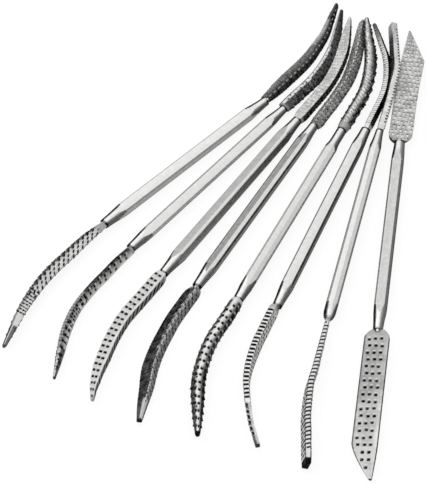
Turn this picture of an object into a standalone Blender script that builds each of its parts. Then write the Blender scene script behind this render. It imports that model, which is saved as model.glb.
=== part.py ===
"""A set of eight double-ended rasp rifflers laid out as a fan on a bench.

Each riffler is one steel forging: a square shank turned down to a round neck at both ends,
and a curved, toothed head on each neck. The two heads curve the same way, so a riffler seen
from above is a long S. Lengths are in metres, angles in degrees, and +Z is up.
"""

import math
from dataclasses import dataclass
from enum import Enum

import bmesh
import bpy
from mathutils import Matrix, Vector
from mathutils.bvhtree import BVHTree


# Shank: a square bar with bevelled corners, turned to a cone and a neck at both ends
SHANK_BEVEL = 0.0007
CONE_LENGTH = 0.0125
NECK_DIAMETER = 0.0029
NECK_ROOT_LENGTH = 0.0016
NECK_ROOT_DIAMETER = 0.0027
TURNED_SIDES = 32

# Teeth: raised points, each leaning towards the tip of its head
TOOTH_HEIGHT = 0.00028
TOOTH_START = 0.0035
PLAIN_TIP_LENGTH = 0.0048
TOOTH_LEAN_SHARE = 0.3

# How closely the rifflers are laid to their gaps
LAYING_PRECISION = 0.00001

# Head outline, as shares of the head's own length
SHOULDER_SHARE = 0.06
STRAIGHT_SHARE = 0.25
BEND_END_SHARE = 0.75
ROOT_RING_SHARES = (0.0, 0.2, 0.5)
TIP_RING_SHARES = (0.4, 0.8, 1.0)
KNIFE_EDGE_SHARE = 0.3

# Half-round riffler
HALF_ROUND_HEADING = 44.3
HALF_ROUND_SHANK_LENGTH = 0.0825
HALF_ROUND_SHANK_SIDE = 0.0045
HALF_ROUND_SHANK_TURN = 0.0
HALF_ROUND_LOWER_LENGTH = 0.0644
HALF_ROUND_LOWER_WIDTH = 0.0047
HALF_ROUND_LOWER_THICKNESS = 0.0034
HALF_ROUND_LOWER_SWEEP = 26.0
HALF_ROUND_LOWER_OFFSET = 0.0004
HALF_ROUND_UPPER_LENGTH = 0.0582
HALF_ROUND_UPPER_WIDTH = 0.0054
HALF_ROUND_UPPER_THICKNESS = 0.0036
HALF_ROUND_UPPER_SWEEP = 29.0
HALF_ROUND_UPPER_OFFSET = 0.0009

# Oval riffler, placed from the half-round riffler
OVAL_HEADING = 48.8
OVAL_SHANK_LENGTH = 0.0845
OVAL_SHANK_SIDE = 0.0044
OVAL_SHANK_TURN = 9.0
OVAL_LOWER_LENGTH = 0.0629
OVAL_LOWER_WIDTH = 0.0042
OVAL_LOWER_THICKNESS = 0.0034
OVAL_LOWER_SWEEP = 31.5
OVAL_LOWER_OFFSET = 0.0005
OVAL_UPPER_LENGTH = 0.0574
OVAL_UPPER_WIDTH = 0.0041
OVAL_UPPER_THICKNESS = 0.0032
OVAL_UPPER_SWEEP = 31.5
OVAL_UPPER_OFFSET = 0.0004
OVAL_GAP = 0.00053
OVAL_SETBACK = -0.0047

# Square riffler
SQUARE_HEADING = 54.7
SQUARE_SHANK_LENGTH = 0.0865
SQUARE_SHANK_SIDE = 0.0044
SQUARE_SHANK_TURN = -20.0
SQUARE_LOWER_LENGTH = 0.0594
SQUARE_LOWER_WIDTH = 0.0044
SQUARE_LOWER_THICKNESS = 0.0040
SQUARE_LOWER_SWEEP = 22.0
SQUARE_UPPER_LENGTH = 0.0560
SQUARE_UPPER_WIDTH = 0.0042
SQUARE_UPPER_THICKNESS = 0.0032
SQUARE_UPPER_SWEEP = 24.5
SQUARE_UPPER_OFFSET = -0.0003
SQUARE_GAP = 0.00034
SQUARE_SETBACK = -0.0040

# Three-square riffler
THREE_SQUARE_HEADING = 59.1
THREE_SQUARE_SHANK_LENGTH = 0.0860
THREE_SQUARE_SHANK_SIDE = 0.0045
THREE_SQUARE_SHANK_TURN = 0.0
THREE_SQUARE_LOWER_LENGTH = 0.0606
THREE_SQUARE_LOWER_WIDTH = 0.0058
THREE_SQUARE_LOWER_THICKNESS = 0.0042
THREE_SQUARE_LOWER_SWEEP = 23.0
THREE_SQUARE_UPPER_LENGTH = 0.0560
THREE_SQUARE_UPPER_WIDTH = 0.0050
THREE_SQUARE_UPPER_THICKNESS = 0.0038
THREE_SQUARE_UPPER_SWEEP = 20.0
THREE_SQUARE_GAP = 0.00038
THREE_SQUARE_SETBACK = -0.0023

# Round riffler
ROUND_HEADING = 62.7
ROUND_SHANK_LENGTH = 0.0860
ROUND_SHANK_SIDE = 0.0044
ROUND_SHANK_TURN = 17.0
ROUND_LOWER_LENGTH = 0.0594
ROUND_LOWER_DIAMETER = 0.0049
ROUND_LOWER_SWEEP = 26.0
ROUND_UPPER_LENGTH = 0.0575
ROUND_UPPER_DIAMETER = 0.0047
ROUND_UPPER_SWEEP = 30.0
ROUND_GAP = 0.00052
ROUND_SETBACK = -0.0028

# Pillar riffler
PILLAR_HEADING = 66.5
PILLAR_SHANK_LENGTH = 0.0865
PILLAR_SHANK_SIDE = 0.0045
PILLAR_SHANK_TURN = 0.0
PILLAR_LOWER_LENGTH = 0.0604
PILLAR_LOWER_WIDTH = 0.0044
PILLAR_LOWER_THICKNESS = 0.0023
PILLAR_LOWER_SWEEP = 31.5
PILLAR_UPPER_LENGTH = 0.0548
PILLAR_UPPER_WIDTH = 0.0030
PILLAR_UPPER_THICKNESS = 0.0020
PILLAR_UPPER_SWEEP = 35.0
PILLAR_UPPER_OFFSET = -0.0003
PILLAR_GAP = 0.00034
PILLAR_SETBACK = 0.0003

# Flat riffler, with its heads standing on edge
FLAT_HEADING = 75.7
FLAT_SHANK_LENGTH = 0.0880
FLAT_SHANK_SIDE = 0.0044
FLAT_SHANK_TURN = 0.0
FLAT_LOWER_LENGTH = 0.0610
FLAT_LOWER_WIDTH = 0.0054
FLAT_LOWER_THICKNESS = 0.0024
FLAT_LOWER_SWEEP = 11.0
FLAT_UPPER_LENGTH = 0.0525
FLAT_UPPER_WIDTH = 0.0040
FLAT_UPPER_THICKNESS = 0.0020
FLAT_UPPER_SWEEP = 12.5
FLAT_GAP = 0.00034
FLAT_SETBACK = -0.0003

# Knife riffler, with its blades lying flat
KNIFE_HEADING = 81.8
KNIFE_SHANK_LENGTH = 0.0845
KNIFE_SHANK_SIDE = 0.0045
KNIFE_SHANK_TURN = -8.0
KNIFE_LOWER_LENGTH = 0.0605
KNIFE_LOWER_WIDTH = 0.0090
KNIFE_LOWER_THICKNESS = 0.0022
KNIFE_LOWER_SWEEP = 0.0
KNIFE_UPPER_LENGTH = 0.0560
KNIFE_UPPER_WIDTH = 0.0088
KNIFE_UPPER_THICKNESS = 0.0022
KNIFE_UPPER_SWEEP = -3.0
KNIFE_GAP = 0.00034
KNIFE_SETBACK = -0.0065


class Section(Enum):
    """The cross-sections that a head can have."""

    ROUND = "round"
    SQUARE = "square"
    HALF_ROUND = "half round"
    THREE_SQUARE = "three square"
    PILLAR = "pillar"
    KNIFE = "knife"


@dataclass(frozen=True)
class Head:
    """One toothed end of a riffler, from its neck to its tip."""

    section: Section
    length: float
    width: float
    thickness: float
    sweep: float
    rows: int
    section_turn: float = 0.0
    root_share: float = 0.7
    taper_start_share: float = 0.5
    tip_share: float = 0.26
    taper_power: float = 1.7
    flush_share: float = 0.0
    offset: float = 0.0

    def size_share(self, along_share):
        """Returns the section's size at a share of the length, as a share of its full size."""
        if along_share < SHOULDER_SHARE:
            rise = math.sin(along_share / SHOULDER_SHARE * math.pi / 2)
            return self.root_share + (1 - self.root_share) * rise
        if along_share < self.taper_start_share:
            return 1.0
        fall = (along_share - self.taper_start_share) / (1 - self.taper_start_share)
        return 1 - (1 - self.tip_share) * fall**self.taper_power

    def frame_at(self, distance):
        """Returns the matrix that carries a section to a distance along the head's curve."""
        bend_start = STRAIGHT_SHARE * self.length
        bend_end = BEND_END_SHARE * self.length
        sweep = math.radians(self.sweep)
        turned = sweep * min(max((distance - bend_start) / (bend_end - bend_start), 0.0), 1.0)
        bend_run = min(max(distance, bend_start), bend_end) - bend_start
        chord = bend_run * math.sin(turned / 2) / (turned / 2) if turned else bend_run
        before = min(distance, bend_start)
        after = max(distance - bend_end, 0.0)
        x = before + chord * math.cos(turned / 2) + after * math.cos(turned)
        y = chord * math.sin(turned / 2) + after * math.sin(turned)
        place = Matrix.Translation((x, y, 0.0)) @ Matrix.Rotation(turned, 4, "Z")
        return place @ Matrix.Rotation(math.radians(self.section_turn), 4, "X")


@dataclass(frozen=True)
class Riffler:
    """One double-ended riffler: its shank, its two heads and its place in the fan."""

    name: str
    heading: float
    shank_length: float
    shank_side: float
    shank_turn: float
    lower: Head
    upper: Head
    gap: float = 0.0
    setback: float = 0.0


def section_outline(section):
    """Returns a section's corners as shares of its half sizes, anticlockwise from the right."""
    if section is Section.ROUND:
        sides = 10
        angles = [2 * math.pi * (step + 0.5) / sides for step in range(sides)]
        return [(math.cos(angle), math.sin(angle)) for angle in angles]
    if section is Section.SQUARE:
        return [(1, -1), (1, 0), (1, 1), (0, 1), (-1, 1), (-1, 0), (-1, -1), (0, -1)]
    if section is Section.HALF_ROUND:
        arc_sides = 6
        angles = [math.pi * step / arc_sides for step in range(arc_sides + 1)]
        arc = [(math.cos(angle), 2 * math.sin(angle) - 1) for angle in angles]
        return arc + [(-1 / 3, -1), (1 / 3, -1)]
    if section is Section.THREE_SQUARE:
        return split_sides([(1, -1), (0, 1), (-1, -1)], (3, 3, 3))
    if section is Section.PILLAR:
        return split_sides([(1, -1), (1, 1), (-1, 1), (-1, -1)], (1, 3, 1, 3))
    edge = KNIFE_EDGE_SHARE
    return split_sides([(1, -1), (1, 1), (-1, edge), (-1, -edge)], (1, 4, 1, 4))


def split_sides(corners, counts):
    """Returns the outline of a polygon with each side split into its count of equal parts."""
    points = []
    for index, count in enumerate(counts):
        start = Vector(corners[index])
        end = Vector(corners[(index + 1) % len(corners)])
        points += [tuple(start.lerp(end, step / count)) for step in range(count)]
    return points


def steel(name, colour, roughness):
    """Returns a bare steel material."""
    material = bpy.data.materials.new(name)
    material.use_nodes = True
    shader = material.node_tree.nodes["Principled BSDF"]
    shader.inputs["Base Color"].default_value = (*colour, 1.0)
    shader.inputs["Roughness"].default_value = roughness
    shader.inputs["Metallic"].default_value = 1.0
    return material


def add_object(name, bm, material):
    """Returns a new object made of a bmesh, with outward faces and crisp corners."""
    bmesh.ops.recalc_face_normals(bm, faces=bm.faces)
    mesh = bpy.data.meshes.new(name)
    bm.to_mesh(mesh)
    bm.free()
    mesh.materials.append(material)
    mesh.shade_smooth()
    mesh.set_sharp_from_angle(angle=math.radians(28.0))
    thing = bpy.data.objects.new(name, mesh)
    bpy.context.scene.collection.objects.link(thing)
    return thing


def bridge(bm, rings):
    """Skins a row of rings with quads, caps both ends, and returns the quads row by row."""
    rows = []
    for near, far in zip(rings, rings[1:]):
        count = len(near)
        quads = []
        for index in range(count):
            following = (index + 1) % count
            quads.append(bm.faces.new((near[index], near[following], far[following], far[index])))
        rows.append(quads)
    bm.faces.new(rings[0])
    bm.faces.new(rings[-1])
    return rows


def make_bar(riffler, material):
    """Returns the square bar that a shank is cut from."""
    half_side = riffler.shank_side / 2
    flat = half_side - SHANK_BEVEL
    corners = [(half_side, flat), (flat, half_side), (-flat, half_side), (-half_side, flat)]
    outline = corners + [(-y, -z) for y, z in corners]
    turn = Matrix.Rotation(math.radians(riffler.shank_turn), 4, "X")
    end = riffler.shank_length / 2 + NECK_ROOT_LENGTH + NECK_DIAMETER
    bm = bmesh.new()
    rings = [[bm.verts.new(turn @ Vector((x, y, z))) for y, z in outline] for x in (-end, end)]
    bridge(bm, rings)
    return add_object(riffler.name, bm, material)


def make_turned_blank(riffler, material):
    """Returns the lathe-turned shape that trims a bar to its cones, necks and roots."""
    neck_end = riffler.shank_length / 2
    cone_start = neck_end - CONE_LENGTH
    root_end = neck_end + NECK_ROOT_LENGTH
    full_radius = riffler.shank_side / math.sqrt(2)
    half_profile = [
        (root_end, NECK_ROOT_DIAMETER / 2),
        (neck_end, NECK_ROOT_DIAMETER / 2),
        (neck_end, NECK_DIAMETER / 2),
        (cone_start, full_radius),
    ]
    profile = half_profile + [(-x, radius) for x, radius in reversed(half_profile)]
    bm = bmesh.new()
    rings = []
    for x, radius in profile:
        angles = [2 * math.pi * side / TURNED_SIDES for side in range(TURNED_SIDES)]
        ring = [(x, radius * math.cos(angle), radius * math.sin(angle)) for angle in angles]
        rings.append([bm.verts.new(point) for point in ring])
    bridge(bm, rings)
    return add_object(riffler.name + "_blank", bm, material)


def make_head(name, head, material):
    """Returns a head that starts at the origin and runs along +X, curving to the left."""
    outline = section_outline(head.section)
    toothed_end = head.length - PLAIN_TIP_LENGTH
    pitch = (toothed_end - TOOTH_START) / head.rows
    toothed = [TOOTH_START + pitch * row for row in range(head.rows + 1)]
    tip = [toothed_end + PLAIN_TIP_LENGTH * share for share in TIP_RING_SHARES]
    root = [TOOTH_START * share for share in ROOT_RING_SHARES]
    bm = bmesh.new()
    rings = []
    for distance in root + toothed + tip:
        size = head.size_share(distance / head.length)
        frame = head.frame_at(distance)
        half_width = head.width / 2 * size
        half_thickness = head.thickness / 2 * math.sqrt(size)
        middle = head.flush_share * (head.width / 2 - half_width) * (distance > head.length / 2)
        points = [frame @ Vector((0.0, middle + y * half_width, z * half_thickness)) for y, z in outline]
        rings.append([bm.verts.new(point) for point in points])
    quads = bridge(bm, rings)
    bmesh.ops.recalc_face_normals(bm, faces=bm.faces)
    for row in range(head.rows):
        row_quads = quads[len(root) + row]
        size = head.size_share((TOOTH_START + pitch * row) / head.length)
        lean = head.frame_at(TOOTH_START + pitch * row).to_3x3() @ Vector((1.0, 0.0, 0.0))
        every_column = head.section is Section.KNIFE
        chosen = [quad for column, quad in enumerate(row_quads) if every_column or (row + column) % 2]
        poked = bmesh.ops.poke(bm, faces=chosen, offset=TOOTH_HEIGHT * math.sqrt(size))
        for vert in poked["verts"]:
            vert.co += lean * pitch * TOOTH_LEAN_SHARE
    return add_object(name, bm, material)


def join(target, other, operation):
    """Adds an exact Boolean modifier to an object and keeps its operand as a guide."""
    other.hide_render = True
    other.display_type = "WIRE"
    other.parent = target.parent
    modifier = target.modifiers.new(other.name, "BOOLEAN")
    modifier.operation = operation
    modifier.solver = "EXACT"
    modifier.object = other


def make_riffler(riffler, material):
    """Returns one riffler with its shank's centre on its parent empty."""
    holder = bpy.data.objects.new(riffler.name + "_holder", None)
    bpy.context.scene.collection.objects.link(holder)
    forging = make_bar(riffler, material)
    forging.parent = holder
    join(forging, make_turned_blank(riffler, material), "INTERSECT")
    neck_end = riffler.shank_length / 2
    upper = make_head(riffler.name + "_upper", riffler.upper, material)
    upper.location = (neck_end, riffler.upper.offset, 0.0)
    lower = make_head(riffler.name + "_lower", riffler.lower, material)
    lower.location = (-neck_end, -riffler.lower.offset, 0.0)
    lower.rotation_euler = (0.0, 0.0, math.pi)
    join(forging, upper, "UNION")
    join(forging, lower, "UNION")
    return forging


def surface_of(thing):
    """Returns the corners of an object's finished mesh in world space, and its faces."""
    bpy.context.view_layer.update()
    graph = bpy.context.evaluated_depsgraph_get()
    finished = thing.evaluated_get(graph)
    mesh = finished.to_mesh()
    corners = [finished.matrix_world @ vert.co for vert in mesh.vertices]
    faces = [tuple(polygon.vertices) for polygon in mesh.polygons]
    finished.to_mesh_clear()
    return corners, faces


def clears(still, moving, shift, gap):
    """Tells whether a surface moved along X keeps a gap to one that lies still."""
    moved = [corner + Vector((shift, 0.0, 0.0)) for corner in moving[0]]
    still_tree = BVHTree.FromPolygons(still[0], still[1])
    moved_tree = BVHTree.FromPolygons(moved, moving[1])
    if still_tree.overlap(moved_tree):
        return False
    for tree, corners in ((still_tree, moved), (moved_tree, still[0])):
        if any(tree.find_nearest(corner, gap)[0] is not None for corner in corners):
            return False
    return True


def slide_beside(still, moving, gap):
    """Returns how far a surface moves along X to lie a gap to the right of another."""
    too_near = 0.0
    far_enough = max(corner.x for corner in still[0]) - min(corner.x for corner in moving[0]) + gap
    while far_enough - too_near > LAYING_PRECISION:
        middle = (too_near + far_enough) / 2
        if clears(still, moving, middle, gap):
            far_enough = middle
        else:
            too_near = middle
    return far_enough


def lay_out(rifflers, forgings):
    """Turns each riffler to its heading and lays it on the bench, a gap from the one before."""
    neck = Vector((0.0, 0.0, 0.0))
    previous = None
    for riffler, forging in zip(rifflers, forgings):
        heading = math.radians(riffler.heading)
        along = Vector((math.cos(heading), math.sin(heading), 0.0))
        neck.y += riffler.setback
        holder = forging.parent
        holder.rotation_euler = (0.0, 0.0, heading)
        holder.location = neck - along * riffler.shank_length / 2
        holder.location.z = -min(corner.z for corner in surface_of(forging)[0])
        if previous:
            shift = slide_beside(surface_of(previous), surface_of(forging), riffler.gap)
            neck.x += shift
            holder.location.x += shift
        previous = forging
    corners = [corner for forging in forgings for corner in surface_of(forging)[0]]
    for axis in (0, 1):
        values = [corner[axis] for corner in corners]
        middle = (min(values) + max(values)) / 2
        for forging in forgings:
            forging.parent.location[axis] -= middle


RIFFLERS = (
    Riffler(
        name="half_round_riffler",
        heading=HALF_ROUND_HEADING,
        shank_length=HALF_ROUND_SHANK_LENGTH,
        shank_side=HALF_ROUND_SHANK_SIDE,
        shank_turn=HALF_ROUND_SHANK_TURN,
        lower=Head(
            section=Section.HALF_ROUND,
            length=HALF_ROUND_LOWER_LENGTH,
            width=HALF_ROUND_LOWER_WIDTH,
            thickness=HALF_ROUND_LOWER_THICKNESS,
            sweep=HALF_ROUND_LOWER_SWEEP,
            offset=HALF_ROUND_LOWER_OFFSET,
            rows=22,
            section_turn=160.0,
            taper_start_share=0.4,
        ),
        upper=Head(
            section=Section.HALF_ROUND,
            length=HALF_ROUND_UPPER_LENGTH,
            width=HALF_ROUND_UPPER_WIDTH,
            thickness=HALF_ROUND_UPPER_THICKNESS,
            sweep=HALF_ROUND_UPPER_SWEEP,
            offset=HALF_ROUND_UPPER_OFFSET,
            rows=20,
            root_share=0.8,
            taper_start_share=0.3,
        ),
    ),
    Riffler(
        name="oval_riffler",
        heading=OVAL_HEADING,
        shank_length=OVAL_SHANK_LENGTH,
        shank_side=OVAL_SHANK_SIDE,
        shank_turn=OVAL_SHANK_TURN,
        gap=OVAL_GAP,
        setback=OVAL_SETBACK,
        lower=Head(
            section=Section.ROUND,
            length=OVAL_LOWER_LENGTH,
            width=OVAL_LOWER_WIDTH,
            thickness=OVAL_LOWER_THICKNESS,
            sweep=OVAL_LOWER_SWEEP,
            offset=OVAL_LOWER_OFFSET,
            rows=22,
            taper_start_share=0.4,
            tip_share=0.2,
        ),
        upper=Head(
            section=Section.ROUND,
            length=OVAL_UPPER_LENGTH,
            width=OVAL_UPPER_WIDTH,
            thickness=OVAL_UPPER_THICKNESS,
            sweep=OVAL_UPPER_SWEEP,
            offset=OVAL_UPPER_OFFSET,
            rows=20,
            root_share=0.9,
        ),
    ),
    Riffler(
        name="square_riffler",
        heading=SQUARE_HEADING,
        shank_length=SQUARE_SHANK_LENGTH,
        shank_side=SQUARE_SHANK_SIDE,
        shank_turn=SQUARE_SHANK_TURN,
        gap=SQUARE_GAP,
        setback=SQUARE_SETBACK,
        lower=Head(
            section=Section.SQUARE,
            length=SQUARE_LOWER_LENGTH,
            width=SQUARE_LOWER_WIDTH,
            thickness=SQUARE_LOWER_THICKNESS,
            sweep=SQUARE_LOWER_SWEEP,
            rows=22,
            section_turn=13.0,
            taper_start_share=0.62,
        ),
        upper=Head(
            section=Section.SQUARE,
            length=SQUARE_UPPER_LENGTH,
            width=SQUARE_UPPER_WIDTH,
            thickness=SQUARE_UPPER_THICKNESS,
            sweep=SQUARE_UPPER_SWEEP,
            offset=SQUARE_UPPER_OFFSET,
            rows=20,
            section_turn=-20.0,
            taper_start_share=0.62,
        ),
    ),
    Riffler(
        name="three_square_riffler",
        heading=THREE_SQUARE_HEADING,
        shank_length=THREE_SQUARE_SHANK_LENGTH,
        shank_side=THREE_SQUARE_SHANK_SIDE,
        shank_turn=THREE_SQUARE_SHANK_TURN,
        gap=THREE_SQUARE_GAP,
        setback=THREE_SQUARE_SETBACK,
        lower=Head(
            section=Section.THREE_SQUARE,
            length=THREE_SQUARE_LOWER_LENGTH,
            width=THREE_SQUARE_LOWER_WIDTH,
            thickness=THREE_SQUARE_LOWER_THICKNESS,
            sweep=THREE_SQUARE_LOWER_SWEEP,
            rows=22,
            taper_start_share=0.55,
        ),
        upper=Head(
            section=Section.THREE_SQUARE,
            length=THREE_SQUARE_UPPER_LENGTH,
            width=THREE_SQUARE_UPPER_WIDTH,
            thickness=THREE_SQUARE_UPPER_THICKNESS,
            sweep=THREE_SQUARE_UPPER_SWEEP,
            rows=20,
            taper_start_share=0.5,
            tip_share=0.34,
        ),
    ),
    Riffler(
        name="round_riffler",
        heading=ROUND_HEADING,
        shank_length=ROUND_SHANK_LENGTH,
        shank_side=ROUND_SHANK_SIDE,
        shank_turn=ROUND_SHANK_TURN,
        gap=ROUND_GAP,
        setback=ROUND_SETBACK,
        lower=Head(
            section=Section.ROUND,
            length=ROUND_LOWER_LENGTH,
            width=ROUND_LOWER_DIAMETER,
            thickness=ROUND_LOWER_DIAMETER,
            sweep=ROUND_LOWER_SWEEP,
            rows=20,
            root_share=0.78,
            taper_start_share=0.62,
            tip_share=0.34,
        ),
        upper=Head(
            section=Section.ROUND,
            length=ROUND_UPPER_LENGTH,
            width=ROUND_UPPER_DIAMETER,
            thickness=ROUND_UPPER_DIAMETER,
            sweep=ROUND_UPPER_SWEEP,
            rows=18,
            root_share=0.8,
            taper_start_share=0.6,
            tip_share=0.36,
        ),
    ),
    Riffler(
        name="pillar_riffler",
        heading=PILLAR_HEADING,
        shank_length=PILLAR_SHANK_LENGTH,
        shank_side=PILLAR_SHANK_SIDE,
        shank_turn=PILLAR_SHANK_TURN,
        gap=PILLAR_GAP,
        setback=PILLAR_SETBACK,
        lower=Head(
            section=Section.PILLAR,
            length=PILLAR_LOWER_LENGTH,
            width=PILLAR_LOWER_WIDTH,
            thickness=PILLAR_LOWER_THICKNESS,
            sweep=PILLAR_LOWER_SWEEP,
            rows=22,
            section_turn=-50.0,
            taper_start_share=0.3,
            tip_share=0.45,
            taper_power=0.8,
        ),
        upper=Head(
            section=Section.PILLAR,
            length=PILLAR_UPPER_LENGTH,
            width=PILLAR_UPPER_WIDTH,
            thickness=PILLAR_UPPER_THICKNESS,
            sweep=PILLAR_UPPER_SWEEP,
            offset=PILLAR_UPPER_OFFSET,
            rows=20,
            section_turn=70.0,
            taper_start_share=0.6,
            tip_share=0.4,
        ),
    ),
    Riffler(
        name="flat_riffler",
        heading=FLAT_HEADING,
        shank_length=FLAT_SHANK_LENGTH,
        shank_side=FLAT_SHANK_SIDE,
        shank_turn=FLAT_SHANK_TURN,
        gap=FLAT_GAP,
        setback=FLAT_SETBACK,
        lower=Head(
            section=Section.PILLAR,
            length=FLAT_LOWER_LENGTH,
            width=FLAT_LOWER_WIDTH,
            thickness=FLAT_LOWER_THICKNESS,
            sweep=FLAT_LOWER_SWEEP,
            rows=22,
            section_turn=80.0,
            root_share=0.6,
            taper_start_share=0.7,
            tip_share=0.7,
        ),
        upper=Head(
            section=Section.PILLAR,
            length=FLAT_UPPER_LENGTH,
            width=FLAT_UPPER_WIDTH,
            thickness=FLAT_UPPER_THICKNESS,
            sweep=FLAT_UPPER_SWEEP,
            rows=20,
            section_turn=76.0,
            root_share=0.6,
            taper_start_share=0.7,
            tip_share=0.7,
        ),
    ),
    Riffler(
        name="knife_riffler",
        heading=KNIFE_HEADING,
        shank_length=KNIFE_SHANK_LENGTH,
        shank_side=KNIFE_SHANK_SIDE,
        shank_turn=KNIFE_SHANK_TURN,
        gap=KNIFE_GAP,
        setback=KNIFE_SETBACK,
        lower=Head(
            section=Section.KNIFE,
            length=KNIFE_LOWER_LENGTH,
            width=KNIFE_LOWER_WIDTH,
            thickness=KNIFE_LOWER_THICKNESS,
            sweep=KNIFE_LOWER_SWEEP,
            rows=19,
            section_turn=8.0,
            root_share=0.5,
            taper_start_share=0.71,
            tip_share=0.06,
            taper_power=1.0,
            flush_share=0.65,
        ),
        upper=Head(
            section=Section.KNIFE,
            length=KNIFE_UPPER_LENGTH,
            width=KNIFE_UPPER_WIDTH,
            thickness=KNIFE_UPPER_THICKNESS,
            sweep=KNIFE_UPPER_SWEEP,
            rows=18,
            section_turn=-8.0,
            root_share=0.5,
            taper_start_share=0.73,
            tip_share=0.08,
            taper_power=1.0,
            flush_share=0.75,
        ),
    ),
)


def main():
    """Builds the eight rifflers and lays them out."""
    for thing in list(bpy.data.objects):
        bpy.data.objects.remove(thing, do_unlink=True)
    material = steel("ground_steel", (0.62, 0.62, 0.60), 0.32)
    forgings = [make_riffler(riffler, material) for riffler in RIFFLERS]
    lay_out(RIFFLERS, forgings)


main()
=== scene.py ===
"""Eight double-ended rasp rifflers laid out as a fan, dressed for a picture.

Each riffler is one steel forging: a ground square shank, turned down to a neck at both ends,
and a curved head on each neck, stitched with rasp teeth. Lengths are in metres, angles in
degrees and +Z is up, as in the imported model. A head is built along its own +X from its neck,
with +Y to the side that it curves towards.
"""

import logging
import math
from dataclasses import dataclass, replace
from enum import Enum

import bpy
import numpy as np
from mathutils import Matrix, Vector


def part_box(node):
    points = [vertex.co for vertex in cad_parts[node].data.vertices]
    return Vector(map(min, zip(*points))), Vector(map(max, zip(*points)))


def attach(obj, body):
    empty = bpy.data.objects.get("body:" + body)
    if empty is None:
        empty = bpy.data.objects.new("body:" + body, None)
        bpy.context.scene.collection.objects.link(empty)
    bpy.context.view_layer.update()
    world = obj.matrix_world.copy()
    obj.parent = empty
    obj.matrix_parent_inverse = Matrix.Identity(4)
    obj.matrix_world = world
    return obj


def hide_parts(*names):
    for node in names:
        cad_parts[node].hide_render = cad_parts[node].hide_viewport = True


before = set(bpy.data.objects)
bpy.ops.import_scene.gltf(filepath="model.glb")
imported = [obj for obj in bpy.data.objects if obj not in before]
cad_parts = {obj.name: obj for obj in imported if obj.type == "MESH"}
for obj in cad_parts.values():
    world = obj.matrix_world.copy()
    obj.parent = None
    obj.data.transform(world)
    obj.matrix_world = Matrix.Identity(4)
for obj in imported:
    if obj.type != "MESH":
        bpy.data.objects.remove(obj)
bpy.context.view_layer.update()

LOG = logging.getLogger("rifflers")
BODY = "root"

# Pairs of a share and a value there. A tone runs from 0, black, to 1, bright steel, and most tones here are
# painted light and shade.
Table = tuple[tuple[float, float], ...]

# Values over a mesh, ring by ring, under their names
Masks = dict[str, np.ndarray]

Colour = tuple[float, float, float]

# Mesh fineness
HEAD_STEP = 0.00019
SHANK_STEP = 0.0003
LATHE_STEP = 0.6 * SHANK_STEP
CORNER_SAMPLES = 3

# Shank, with its corners just broken
SHANK_BEVEL = 0.0007
SHANK_CORNER = 0.00008
FLAT_INSET_LIMIT = 0.3
ARCH_INSET_LIMIT = 0.2

# Turned ends of a shank, and the root that sinks into each head
CONE_LENGTH = 0.0125
NECK_RADIUS = 0.0018
GROOVE_DEPTH = 0.00012
GROOVE_LENGTH = 0.00035
ROOT_DEPTH = 0.0012
ROOT_STEP = 0.0003
ROOT_SHRINK = 0.45

# Head outline, as shares of the head's own length
STRAIGHT_SHARE = 0.25
BEND_END_SHARE = 0.75
TWIST_SHARES = (0.35, 0.6)
KNIFE_EDGE_SHARE = 0.3

# Softened ends and corners of a head
RIM_LENGTH = 0.0006
RIM_RINGS = 7
ROOT_RIM_SHARE = 0.82
TIP_RIM_SHARE = 0.5
HEAD_CORNER = 0.00022

# Painted light and shade across a turned neck, from its right edge, -1, to its left edge, 1: a band of
# painted reflection between painted dark edges, and a painted tone below its sides
NECK_LIGHT_BANDS = (
    (-1.0, 0.12), (-0.85, 0.22), (-0.3, 0.36), (-0.12, 0.5), (0.02, 0.95), (0.55, 1.0), (0.66, 0.5),
    (0.76, 0.03),
)
FAR_SIDE_PAINTED_TONE = 0.4
FAR_SIDE_BELOW = -0.1

# A ring's size, as a share of the square bar's, under which it counts as turned
TURNED_BELOW = 0.999

# Toothed stretch of a head, with a bare strip along an edge that the teeth run out at
TOOTH_START = 0.0030
PLAIN_TIP_LENGTH = 0.0040
EDGE_MARGIN = 0.0009

# A tooth, in shares of its pitch: how its burr rises and drops, and where its pit may lie
BURR_RISE = 0.42
BURR_CURVE = 1.6
BURR_DROP = 0.13
PIT_NEAREST = 0.04
PIT_FARTHEST = 0.52
BURR_LEAN = 0.5

# How full teeth are cut, how strongly their pits take painted shade and their crests painted light, and how
# low they stand on a rounded corner
FIRST_ROW_SHARE = 0.98
PIT_GAIN = 2.8
PIT_THRESHOLD = 0.25
CREST_GAIN = 1.6
CREST_CHANCE = 1.5
CORNER_LOSS = 0.5
PLAIN_TONE = 0.8

# A table of chance, and how far it moves, strengthens and widens a tooth at an unevenness of 1
CHANCE_SHAPE = (97, 31, 3)
PLACE_JITTER = 0.5
STRENGTH_JITTER = 1.6
SIZE_JITTER = 2

# Grinding marks, drawn out along the piece, and a coarser mottling
MARK_STRETCH = (0.35, 1.6, 1.6)
MOTTLE_FINENESS_SHARE = 0.5

# How softly one look of the steel passes into the next
RUN_FADE = 0.001
NECK_FADE = 0.0008
TIP_FADE = 0.0003


class Face(Enum):
    """The faces that a head can have. LEFT and RIGHT are seen from above, with the tip ahead."""

    LEFT = "left"
    TOP = "top"
    RIGHT = "right"
    UNDERSIDE = "underside"
    ROUND = "round"


class Section(Enum):
    """The cross-sections that a head can have."""

    ROUND = "round"
    SQUARE = "square"
    HALF_ROUND = "half round"
    THREE_SQUARE = "three square"
    PILLAR = "pillar"
    KNIFE = "knife"


@dataclass(frozen=True)
class Side:
    """One side of a section, between two corners given as shares of its half sizes."""

    face: Face
    start: tuple[float, float]
    end: tuple[float, float]
    arched: bool = False


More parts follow.
